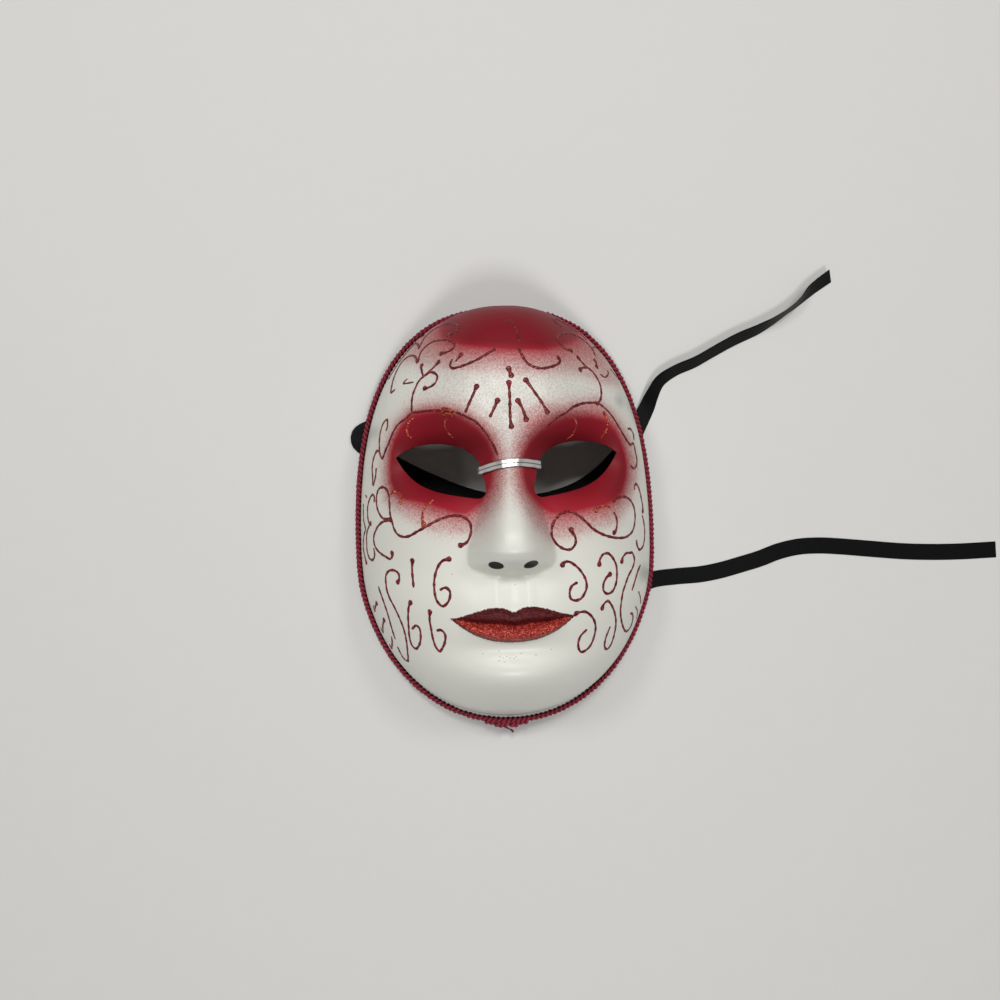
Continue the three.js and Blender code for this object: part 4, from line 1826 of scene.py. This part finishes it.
FOREHEAD_RAYS = (
    Stroke(((477.8, 383.7), (472.2, 396.5), (465, 413)), start=True),
    Stroke(((498.8, 397.6), (494.7, 406.8), (489.6, 417.6)), start=True),
    Stroke(((507.7, 365.8), (512.3, 378.1)), start=True, end=True),
    Stroke(((508.7, 379.6), (509.7, 397.6), (510.3, 418.1), (511.8, 429.4)), start=True, end=True),
    Stroke(((524.1, 377.6), (534.9, 392.4), (541, 401.2), (548.7, 414.5)), start=True, end=True),
    Stroke(((516.4, 398.1), (522.1, 407.8), (527.2, 422.2)), start=True, end=True),
)
LEFT_FOREHEAD = (
    Stroke(((462.9, 352.4), (455.3, 361.7)), start=True),
    Stroke(((452.7, 358.6), (450.1, 364.7), (451.7, 368), (457.8, 367.3), (468.1, 363.7), (478.3, 359.1),
        (487.6, 353.5), (495.8, 348.8))),
    Stroke(((446.5, 335.5), (455.8, 331.9), (458.6, 328.8), (455.8, 324.7), (450.6, 323.2), (441.4, 325.8),
        (433.2, 329.9), (427.1, 335), (421.9, 342.2), (419.4, 348.3)), start=True),
    Stroke(((421.4, 333.5), (420.9, 337.6)), start=True, weight=Weight.FINE),
    Stroke(((439.4, 354), (447.6, 351.9), (453.7, 347.8), (454.5, 344.2), (448.6, 340.1), (441.4, 340.1),
        (433.2, 341.7), (426, 346.3), (420.9, 352.4), (418.3, 359.6), (416.8, 363.7)), start=True,
        end=True),
    Stroke(((418.8, 348.8), (418.3, 345.3), (415.8, 343.2), (410.6, 344.7), (404.5, 349.4), (399.4, 354.5),
        (394.2, 360.6), (391.2, 366.8), (390.1, 372.9), (389.3, 379.1))),
    Stroke(((416.8, 363.7), (415.8, 357.6), (412.7, 355.5), (407.6, 357.1), (402.4, 361.7), (397.3, 369.9),
        (394.2, 377.1), (392.2, 384.2), (391.2, 392.4), (395.3, 389.4))),
    Stroke(((407.6, 378.6), (403.5, 383.2), (413.7, 382.2)), weight=Weight.FINE),
    Stroke(((440.4, 360.1), (430.1, 370.9), (423.5, 376.5), (418.8, 381.2), (415.3, 388.3), (412.7, 395.5),
        (411.7, 402.7), (411.7, 411.9)), start=True),
    Stroke(((422.9, 363.2), (421.4, 366.8), (421.9, 371.9), (423.5, 376.5)), start=True),
    Stroke(((423.5, 376.5), (430.1, 372.4), (434.2, 372.9), (437.3, 376.5), (435.8, 382.2), (431.2, 386.3),
        (426, 388.3), (422.9, 387.8)), end=True),
)
LEFT_BROW = (
    Stroke(((497.8, 455), (492.7, 443.7), (485.5, 432.4), (476.3, 422.2), (466, 416.5), (455.8, 412.4),
        (442.4, 410.9), (427.1, 410.9), (416.8, 412.4), (411.7, 413), (406.5, 418.1), (400.4, 422.2),
        (395.3, 428.3), (391.7, 435.5), (388.1, 444.7), (386, 449.2), (381.9, 458.5), (379.4, 452.3),
        (377.3, 450.8), (375.8, 452.8), (373.2, 460.5), (372.2, 468.7), (372.7, 476.9), (373.2, 485.1),
        (375.3, 477.9), (376.3, 467.7))),
    Stroke(((386, 431.4), (387.6, 425.3), (386.8, 419.6), (383.5, 423.2), (380.9, 430.4), (379.6, 438.6),
        (379.4, 447.8), (379.9, 455))),
    Stroke(((440, 412.5), (444, 409), (450, 410.5), (456, 413.5)), weight=Weight.THICK, glue=Glue.RED),
    Stroke(((442, 414.5), (447, 414), (452, 415), (454, 417.5)), weight=Weight.THICK, glue=Glue.RED),
    Stroke(((447, 418), (444.5, 424.2), (448, 432.5), (451.7, 436.5), (455, 439.5)), weight=Weight.FINE,
        glue=Glue.RED),
    Stroke(((415, 416.5), (409, 422), (406.8, 429), (408, 435), (411.6, 439.2)), weight=Weight.FINE,
        glue=Glue.RED),
)
RIGHT_FOREHEAD = (
    Stroke(((501.5, 322.2), (506.2, 320.6), (510.3, 320.6), (514.4, 325.8), (517.4, 334), (519, 341.2)),
        weight=Weight.FINE),
    Stroke(((518.5, 347.8), (522.1, 355.5), (526.7, 362.2), (533.8, 366.8), (541, 368.3), (549.2, 367.3),
        (556.4, 364.7), (560, 361.2), (558.5, 358.1), (556.4, 356.5)), end=True),
    Stroke(((572.8, 350.9), (565.6, 348.8), (560.5, 344.2), (556.9, 338.1), (559.5, 334.5), (566.7, 332.9),
        (573.8, 334.5), (582.1, 339.1), (588.2, 344.2), (592.3, 349.4), (595.4, 356)), start=True),
    Stroke(((562.6, 327.8), (557.4, 323.7), (552.8, 319.6), (555.4, 318.6), (563.6, 322.7), (580, 334),
        (587.2, 340.1))),
    Stroke(((592.8, 347.8), (595.4, 346.8), (599, 349.4)), weight=Weight.FINE),
    Stroke(((576.4, 355.5), (582.1, 362.7), (587.2, 367.3), (592.3, 371.4), (596.4, 377.1), (600, 384.2),
        (601.3, 391.4), (601, 397.6), (599, 402.2), (595.4, 404.2)), start=True, end=True),
    Stroke(((587.2, 367.3), (582.1, 368), (579, 370.9)), end=True),
    Stroke(((593.3, 358.6), (595.9, 362.7), (596.9, 368.8)), start=True, end=True),
    Stroke(((600, 374), (604.6, 377.1), (607.7, 375), (608.2, 371.9), (606.7, 370.4)), weight=Weight.FINE),
    Stroke(((609.7, 368.3), (616.9, 377.1), (618.5, 375)), weight=Weight.FINE),
)
RIGHT_BROW = (
    Stroke(((547.2, 426.3), (556.4, 418.1), (566.7, 411.9), (571.8, 407.8), (580, 404.2), (589.2, 402.7),
        (598.5, 403.7), (605.6, 408.8), (612.8, 417.1), (619, 427.3), (625.1, 437.6), (630.3, 444.7),
        (633.3, 443.7), (635.4, 452.3), (636.9, 460.5), (635.9, 466.7), (633.3, 468.2),
        (630.3, 465.1))),
    Stroke(((627.7, 428.8), (630.8, 429.4), (633.3, 434.5), (633.8, 440.6))),
    Stroke(((570.8, 414), (575.9, 421.2), (575.9, 428.3), (571.8, 435.5), (565.6, 439.6)),
        weight=Weight.FINE, glue=Glue.RED),
    Stroke(((602.6, 411.4), (606.7, 417.1), (607.7, 425.3), (604.6, 433.5), (600.5, 438.6)), start=True,
        weight=Weight.FINE, glue=Glue.RED),
)
LEFT_CHEEK = (
    Stroke(((365.5, 494.9), (367.1, 497.9)), weight=Weight.FINE),
    Stroke(((374.2, 502.6), (374.2, 496.4), (372.2, 494.9), (369.6, 499.5), (367.8, 506.7), (367.8, 515.9),
        (369.1, 523.1), (371.7, 523.6)), end=True),
    Stroke(((369.6, 525.1), (367.1, 532.3), (366.7, 542.6), (367.6, 552.8), (370.1, 559), (373.2, 559.5),
        (374.7, 554.9), (373.7, 547.7))),
    Stroke(((363.5, 503.6), (363.8, 520), (365.5, 529.2), (364, 535.4), (363.5, 547.7), (366, 561),
        (367.1, 564.6)), end=True),
    Stroke(((389.1, 497.4), (387.1, 490.3), (382.9, 487.2), (378.8, 489.2), (376.6, 496.4), (376.8, 505.6),
        (379.4, 513.8), (384, 519), (389.1, 519), (392.2, 521)), end=True),
    Stroke(((389.1, 497.4), (389.6, 505.6), (390.1, 513.8), (392.2, 522.1), (394.2, 529.2), (398.3, 534.9),
        (404, 536.9), (409.6, 535.9), (416.8, 531.8), (425, 527.2), (434.2, 522.1), (443.5, 517.9),
        (451.7, 515.9), (459.9, 515.9), (466, 518.5), (470.1, 523.1), (471.2, 530.3), (469.6, 537.4),
        (466, 543.1), (457.8, 546.2)), end=True),
    Stroke(((389.1, 497.4), (391.2, 493.3), (395.3, 491.8), (399.4, 493.3), (402.4, 498.5), (401.4, 503.6),
        (398.8, 501.5)), glue=Glue.RED),
    Stroke(((425, 527.2), (422.9, 522.1), (422.4, 513.8), (424.5, 507.7), (429.1, 503.1), (433.2, 499.5)),
        start=True, glue=Glue.RED),
    Stroke(((390.1, 520.5), (385, 521), (379.9, 524.1), (375.8, 530.3), (373.7, 538.5), (375.3, 546.7),
        (379.9, 552.8), (386, 556.9), (390.1, 559), (392.2, 555.9), (391.7, 550.3)), end=True),
    Stroke(((412.4, 557.9), (412.2, 571.3), (413.7, 587.7)), start=True),
    Stroke(((451.7, 558.5), (442.4, 561), (437.3, 568.2), (434.7, 577.4), (434.2, 586.7), (435.3, 595.9),
        (437.3, 601.5), (442.4, 606.2), (446.5, 604.1), (449.6, 598.5), (449.8, 591.3), (445.5, 587.7),
        (439.4, 590.3)), start=True),
    Stroke(((396.3, 583.6), (398.8, 580.5), (398.8, 574.4), (395.3, 570.8), (389.1, 570.8), (386, 575.4),
        (386, 583.6), (387.1, 590.8), (390.1, 599), (394.2, 606.7), (399.4, 617.9), (403.5, 628.2),
        (406, 638.5), (407.4, 649.7), (407.6, 661), (403.5, 657.9), (397.3, 646.2)), start=True),
    Stroke(((378.3, 586.2), (382.9, 599.5), (387.1, 611.8), (391.2, 626.2), (395.3, 639.5))),
    Stroke(((377.3, 602.1), (375.3, 606.7), (374.7, 610.8), (373.2, 605.1)), start=True),
    Stroke(((384.5, 618.5), (382.9, 625.1), (382.9, 632.3), (380.9, 627.2)), start=True),
    Stroke(((391.7, 636.4), (392.2, 642.6), (391.2, 648.2), (389.6, 644.1))),
    Stroke(((411.7, 600.5), (409.1, 605.6), (408.1, 615.9), (408.6, 626.2), (409.6, 637.4), (412.2, 645.6),
        (415.8, 648.7), (419.4, 644.6), (420.7, 636.4), (419.4, 628.2), (416.3, 625.6), (411.7, 629.2)),
        start=True),
    Stroke(((430.1, 609.2), (429.6, 619), (431.2, 629.2), (433.2, 639.5), (436.3, 647.7), (439.4, 651.3),
        (442.4, 648.2), (445, 641.5), (445, 634.4), (441.4, 630.3), (436.3, 630.6)), start=True),
)
RIGHT_CHEEK = (
    Stroke(((570.3, 526.7), (571.8, 531.3), (575.4, 537.4), (575.4, 543.6), (571.8, 548.7), (567.7, 549.7),
        (561.5, 547.7), (555.4, 542.6), (551.8, 535.4), (551.8, 528.2), (554.4, 521), (559.5, 514.9),
        (566.7, 511.8), (573.8, 512.8), (580, 516.9), (586.2, 522.1), (592.3, 528.2), (599.5, 532.8),
        (608.7, 536.4), (617.9, 537.9), (626.2, 536.9), (632.3, 531.3), (634.6, 523.1), (634.9, 513.8),
        (633.3, 505.6), (629.2, 499), (623.1, 496.6), (616.9, 498.5), (612.8, 502.6)), start=True),
    Stroke(((594.4, 512.8), (597.4, 508.7), (602.6, 506.2), (610.8, 507.2)), start=True, glue=Glue.RED),
    Stroke(((613.8, 511.8), (616.4, 517.9), (616.9, 525.1), (615.4, 531.3), (612.3, 533.8)), end=True),
    Stroke(((634.4, 490.3), (634.4, 486.2), (636.4, 484.1), (639, 489.2), (641, 497.4), (642.6, 506.7),
        (642.6, 513.8)), end=True),
    Stroke(((642.1, 514.9), (644.1, 525.1), (644.6, 535.4), (643.1, 545.6), (639.5, 549.7), (636.9, 544.6),
        (636.4, 539.5))),
    Stroke(((599.5, 567.2), (599.5, 561), (602.6, 554.9), (607.7, 553.3), (612.8, 557.9), (616.4, 566.2),
        (616.9, 575.4), (615.9, 583.6), (612.8, 590.8), (607.7, 593.8), (603.6, 590.8), (603.6, 583.6),
        (606.7, 577.4), (611.8, 572.8)), start=True, end=True),
    Stroke(((561.5, 567.7), (563.6, 563.1), (567.7, 561.5), (574.9, 565.1), (581, 571.3), (585.6, 579.5),
        (586.7, 586.7), (585.1, 592.3), (581, 598.5), (575.4, 600.5), (570.8, 598.5), (569.7, 592.3),
        (571.8, 586.2), (577.9, 582.1)), start=True),
    Stroke(((621.5, 564.1), (622.6, 557.9), (626.2, 553.3), (630.3, 552.8), (632.3, 552.8), (634.4, 560),
        (632.3, 568.2), (628.2, 576.4), (624.6, 586.7), (623.1, 591.3), (621.5, 600.5), (620.5, 610.8),
        (621.5, 621), (624.1, 629.2), (626.7, 631.3), (630.3, 627.2), (632.8, 619), (632.3, 613.8),
        (630.3, 613.3)), start=True),
    Stroke(((640.5, 564.6), (637.4, 572.3), (634.4, 582.6), (631.8, 590.8))),
    Stroke(((638.5, 591.3), (640.5, 598.5), (640.5, 603.6)), weight=Weight.FINE),
    Stroke(((635.4, 606.2), (637.4, 611.8), (636.4, 619)), weight=Weight.FINE),
    Stroke(((573.8, 614.9), (577.9, 612.8), (585.1, 611.8), (590.3, 614.9), (594.4, 621), (595.6, 628.2),
        (593.8, 637.4), (590.3, 645.6), (585.1, 650.8), (581, 651.8), (578.5, 647.7), (578.5, 641.5),
        (581, 635.4), (587.2, 629.2)), start=True),
    Stroke(((601.5, 610.8), (603.6, 604.6), (607.7, 601), (611.8, 605.6), (614.9, 613.8), (615.9, 623.1),
        (614.4, 633.3), (611.3, 643.6), (607.2, 649.2), (604.6, 646.7), (605.6, 638.5), (610.3, 626.2)),
        start=True),
)
SPECKS: tuple[Point, ...] = (
    (483, 654), (500, 657), (503, 658), (507, 656.4), (510, 658), (512, 656), (514, 658.4), (516, 656.6),
    (499, 661), (536, 655), (551.4, 649.6), (452, 574.4), (515, 585), (528, 697.6), (499, 651),
    (521, 653.6), (505, 662),
)


@dataclass(frozen=True)
class Scrolls:
    """Beads of glitter glue drawn on the face, which stand a little over it."""

    strokes: tuple[Stroke, ...] = (
        *FOREHEAD_RAYS, *LEFT_FOREHEAD, *LEFT_BROW, *RIGHT_FOREHEAD, *RIGHT_BROW, *LEFT_CHEEK, *RIGHT_CHEEK,
    )
    step: float = 0.45
    rise: float = 0.32
    sunk: float = 0.12
    blob: float = 1.5
    blob_taper: float = 2.6
    speck: float = 0.25
    speck_bend: float = 0.1
    last_reach: float = 0.975
    swell: float = 0.14
    swell_rate: float = 1.3
    swell_start: Point = (0.0, 6.0)
    grain: float = 0.06
    thinnest: float = 0.06
    tallest: float = 1.6
    red_gap: float = 0.45
    red_swell: float = 0.75
    red_rate: float = 2.1
    red_drift: float = 0.8
    red_drift_rate: float = 1.7
    section_across: tuple[float, ...] = (-1, -0.7, -0.36, 0, 0.36, 0.7, 1, 0.5, -0.5)
    section_up: tuple[float, ...] = (0, 0.71, 0.93, 1, 0.93, 0.71, 0, 0, 0)
    section_down: tuple[float, ...] = (0.04, 0, 0, 0, 0, 0, 0.04, 1, 1)
    seed: int = 3

    def bead(self, maker: Maker, points: Array, stroke: Stroke, random: np.random.Generator) -> None:
        """Adds one bead.

        Args:
            maker: The mesh it goes into.
            points: Points of the face along it.
            stroke: The stroke it stands for.
            random: Source of its unevenness.
        """
        spans = even_spans(points, self.step)
        centre, ahead = spline(points, spans)
        run = distances(centre)
        x, y = centre[:, 0], centre[:, 1]
        inward = np.minimum(1.0, self.last_reach / FACE.gauge(x, y, FACE.shell_inset)[0])
        x, y = x * inward, FACE.widest_y + (y - FACE.widest_y) * inward
        swell = self.swell * np.sin(run * self.swell_rate + random.uniform(*self.swell_start))
        half = stroke.weight.value / 2 * (1 + swell)
        half *= 1 + self.grain * random.normal(size=len(run))
        if stroke.glue is Glue.RED:
            drift = self.red_drift * np.sin(run * self.red_drift_rate)
            half *= self.red_gap + self.red_swell * np.abs(np.sin(run * self.red_rate + drift))
        for there, away in ((stroke.start, run), (stroke.end, run[-1] - run)):
            tip = self.blob if there else stroke.weight.value / 2
            inside = np.sqrt(np.maximum(tip * tip - (away - tip) ** 2, 0))
            taper = tip * (1 - (away - tip) / (self.blob_taper * tip))
            half = np.where(away < tip, inside, np.maximum(half, taper if there else 0.0))
        half = np.maximum(half, self.thinnest)
        normal = FACE.normal(x, y)
        side = unit(np.cross(normal, unit(ahead)))
        share, up, down = (
            np.array(values) for values in (self.section_across, self.section_up, self.section_down)
        )
        px = x[:, None] + side[:, None, 0] * share * half[:, None]
        py = y[:, None] + side[:, None, 1] * share * half[:, None]
        base = np.stack([px, py, FACE.height(px, py)], axis=-1)
        tall = self.rise * np.minimum(self.tallest, half / (Weight.PLAIN.value / 2))
        lift = tall[:, None] * up - self.sunk * down
        maker.grid(base + normal[:, None] * lift[..., None], around=True, caps=True, slot=stroke.glue.value)

    def build(self, *glues: Material) -> Object:
        """Makes all the beads.

        Args:
            glues: The materials, in the order of Glue.

        Returns:
            The object.
        """
        random = np.random.default_rng(self.seed)
        pixels = np.vstack([np.array(stroke.pixels, dtype=float) for stroke in self.strokes])
        places = VIEW.on_face(pixels)
        maker = Maker()
        first = 0
        for stroke in self.strokes:
            last = first + len(stroke.pixels)
            self.bead(maker, places[first:last], stroke, random)
            first = last
        for x, y, _ in VIEW.on_face(np.array(SPECKS)):
            dot = np.array([(x - self.speck, y), (x, y + self.speck_bend), (x + self.speck, y)])
            self.bead(maker, dot, Stroke((), weight=Weight.SPECK), random)
        return maker.piece("glitter_scrolls", *glues, sharp=70.0)


@dataclass(frozen=True)
class SoftLight:
    """A square lamp: its name, place, side, power and target, in metres and watts."""

    name: str
    place: Triple
    size: float
    power: float
    target: Triple = (0.0, 0.0, 0.04)

    def build(self) -> Object:
        """Makes the lamp.

        Returns:
            The lamp.
        """
        lamp = bpy.data.lights.new(self.name, "AREA")
        lamp.size, lamp.energy = self.size, self.power
        made = put(self.name, lamp)
        aim = Vector(self.target) - Vector(self.place)
        made.location = self.place
        made.rotation_euler = aim.to_track_quat("-Z", "Y").to_euler()
        return made


@dataclass(frozen=True)
class Studio:
    """The table, the light and the camera."""

    floor_half: float = 3.0
    floor: PlainFinish = PlainFinish("pale_table", (0.66, 0.647, 0.621), 0.8, mottle_mm=12.0, darkest=0.97)
    ambient: float = 0.15
    ambient_colour: Colour = (0.93, 0.96, 1.0)
    nearest_view: float = 0.02
    farthest_view: float = 20.0
    lights: tuple[SoftLight, ...] = (
        SoftLight("top_light", (-0.05, 0.73, 1.45), 0.28, 8.6),
        SoftLight("left_light", (-0.80, 0.65, 1.24), 0.28, 4.9),
        SoftLight("right_light", (0.78, 0.68, 1.24), 0.28, 4.4),
        SoftLight("near_light", (0.06, -0.82, 1.39), 0.33, 8.6),
    )

    def camera(self) -> Object:
        """Makes the camera where the photograph was taken from.

        Returns:
            The camera.
        """
        data = bpy.data.cameras.new("camera")
        data.lens, data.sensor_width, data.sensor_fit = VIEW.lens, VIEW.sensor, "HORIZONTAL"
        data.clip_start, data.clip_end = self.nearest_view, self.farthest_view
        made = put("camera", data)
        right, up, ahead = VIEW.axes()
        turn = Matrix((right, up, -ahead)).transposed()
        made.matrix_world = Matrix.Translation(Vector(VIEW.place) * MM) @ turn.to_4x4()
        bpy.context.scene.camera = made
        return made

    def build(self) -> None:
        """Makes the table and the light."""
        half = self.floor_half
        mesh = bpy.data.meshes.new("table")
        corners = [(-half, -half, 0), (half, -half, 0), (half, half, 0), (-half, half, 0)]
        mesh.from_pydata(corners, [], [(0, 1, 2, 3)])
        mesh.materials.append(self.floor.make())
        table = put("table", mesh)
        for light in self.lights:
            light.build()
        world = bpy.data.worlds.new("room")
        world.use_nodes = True
        backdrop = world.node_tree.nodes["Background"]
        backdrop.inputs["Color"].default_value = (*self.ambient_colour, 1.0)
        backdrop.inputs["Strength"].default_value = self.ambient
        bpy.context.scene.world = world
        bpy.context.scene.view_settings.view_transform = "Standard"


LEFT_ROUTE = Route((
    (-70.9, 54, 13, 76, 0), (-71.2, 54, 8, 78, 0), (-70.3, 54, 3.6, 88, 0), (-72.8, 53.6, 1),
    (-77, 52, 0.25), (-80.7, 50.5, 0.2, 113, 0), (-82.9, 48.7, 0.8, 145, 8),
    (-83.7, 46.3, 1, 175, 10), (-83.2, 43.7, 0.8, 207, 8), (-81.2, 41.6, 0.2, 240, 0),
    (-77, 39, 0.16), (-72.5, 36.4, 0.15), (-63.5, 30.6, 0.15), (-51, 23.9, 0.15), (-36, 16.8, 0.15),
    (-20, 10.6, 0.15), (-4, 6.9, 0.15), (12, 6.1, 0.15), (28, 8.2, 0.15), (43, 13.2, 0.15),
    (55, 20.6, 0.15), (64.5, 29.2, 0.15), (72, 37.2, 0.15), (76.8, 43.8, 0.15), (80.6, 51.4, 0.2),
    (84.8, 60, 0.95, -27, -9), (88.3, 68, 2.55, -26, -30), (92.8, 75.6, 3.4, -42, -42),
    (101.7, 81.4, 3.92, -56, -52), (113.6, 86.2, 4.02, -65, -54), (124.4, 92, 4.02, -63, -54),
    (137.9, 98.9, 4.02, -64, -54), (152, 104.8, 4.25, -65, -59), (160.5, 109.2, 4.58, -60, -68),
    (169.4, 115, 4.73, -56, -74), (176, 120, 4.58, -51, -68), (183.8, 127.3, 3.8, -49, -50),
    (190.6, 132.2, 3.6, -52, -46), (195.7, 135.6, 3.5, -54, -44),
))
RIGHT_ROUTE = Route((
    (77.3, 25, 13, 96, 0), (77.7, 25, 8, 97, 0), (76.8, 24.7, 3.6, 108, 0), (75.4, 22.9, 1),
    (71.8, 19.6, 0.18), (67, 15, 0.15), (58, 5.4, 0.15), (48, -4, 0.15), (38.4, -15, 0.15),
    (32.2, -28, 0.15), (34, -41.4, 0.15), (44.2, -50.8, 0.15), (58.4, -52, 0.15), (72, -46.6, 0.15),
    (86, -41, 0.15), (100, -39.4, 0.15), (114.3, -38.6, 0.15), (126.6, -36.6, 0.15),
    (138.5, -33.6, 0.15), (150.3, -30.4, 0.15), (161.8, -26.4, 0.15), (173.8, -24, 0.15),
    (186, -23.6, 0.15), (197.8, -24.4, 0.15), (218.5, -26.6, 0.15), (236, -28.4, 0.15),
    (254, -29.4, 0.15), (272, -29.6, 0.15), (294, -29, 0.15),
))


def main() -> None:
    """Builds the mask and the table in order, and reports each piece."""
    logging.basicConfig(level=logging.INFO, format="%(message)s")
    studio = Studio()
    studio.camera()
    satin = BlackSatin().make()
    dark_glue = GlitterGlue("dark_glitter", (
        (0.0, (0.035, 0.001, 0.003)), (0.5, (0.10, 0.005, 0.009)),
        (0.85, (0.24, 0.015, 0.018)), (1.0, (0.5, 0.13, 0.09)),
    ))
    red_glue = GlitterGlue("red_glitter", (
        (0.0, (0.06, 0.003, 0.004)), (0.5, (0.24, 0.016, 0.012)),
        (0.85, (0.55, 0.09, 0.04)), (1.0, (0.9, 0.35, 0.2)),
    ))
    inside = PlainFinish("black_inside", (0.006, 0.006, 0.0065), 0.7, specular=0.08)
    steps: tuple[tuple[Callable, tuple], ...] = (
        (TieRibbon("left_ribbon", LEFT_ROUTE).build, (satin,)),
        (TieRibbon("right_ribbon", RIGHT_ROUTE).build, (satin,)),
        (FaceShell().build, (PaintedPlastic().make(), inside.make())),
        (EdgeBraid().build, (PlaitedYarn().make(),)),
        (BridgeTie().build, (CreasedFoil().make(),)),
        (Scrolls().build, (dark_glue.make(), red_glue.make())),
    )
    for build, materials in steps:
        made = build(*materials)
        LOG.info("%s: %d faces", made.name, len(made.data.polygons))
    studio.build()


if __name__ == "__main__":
    main()
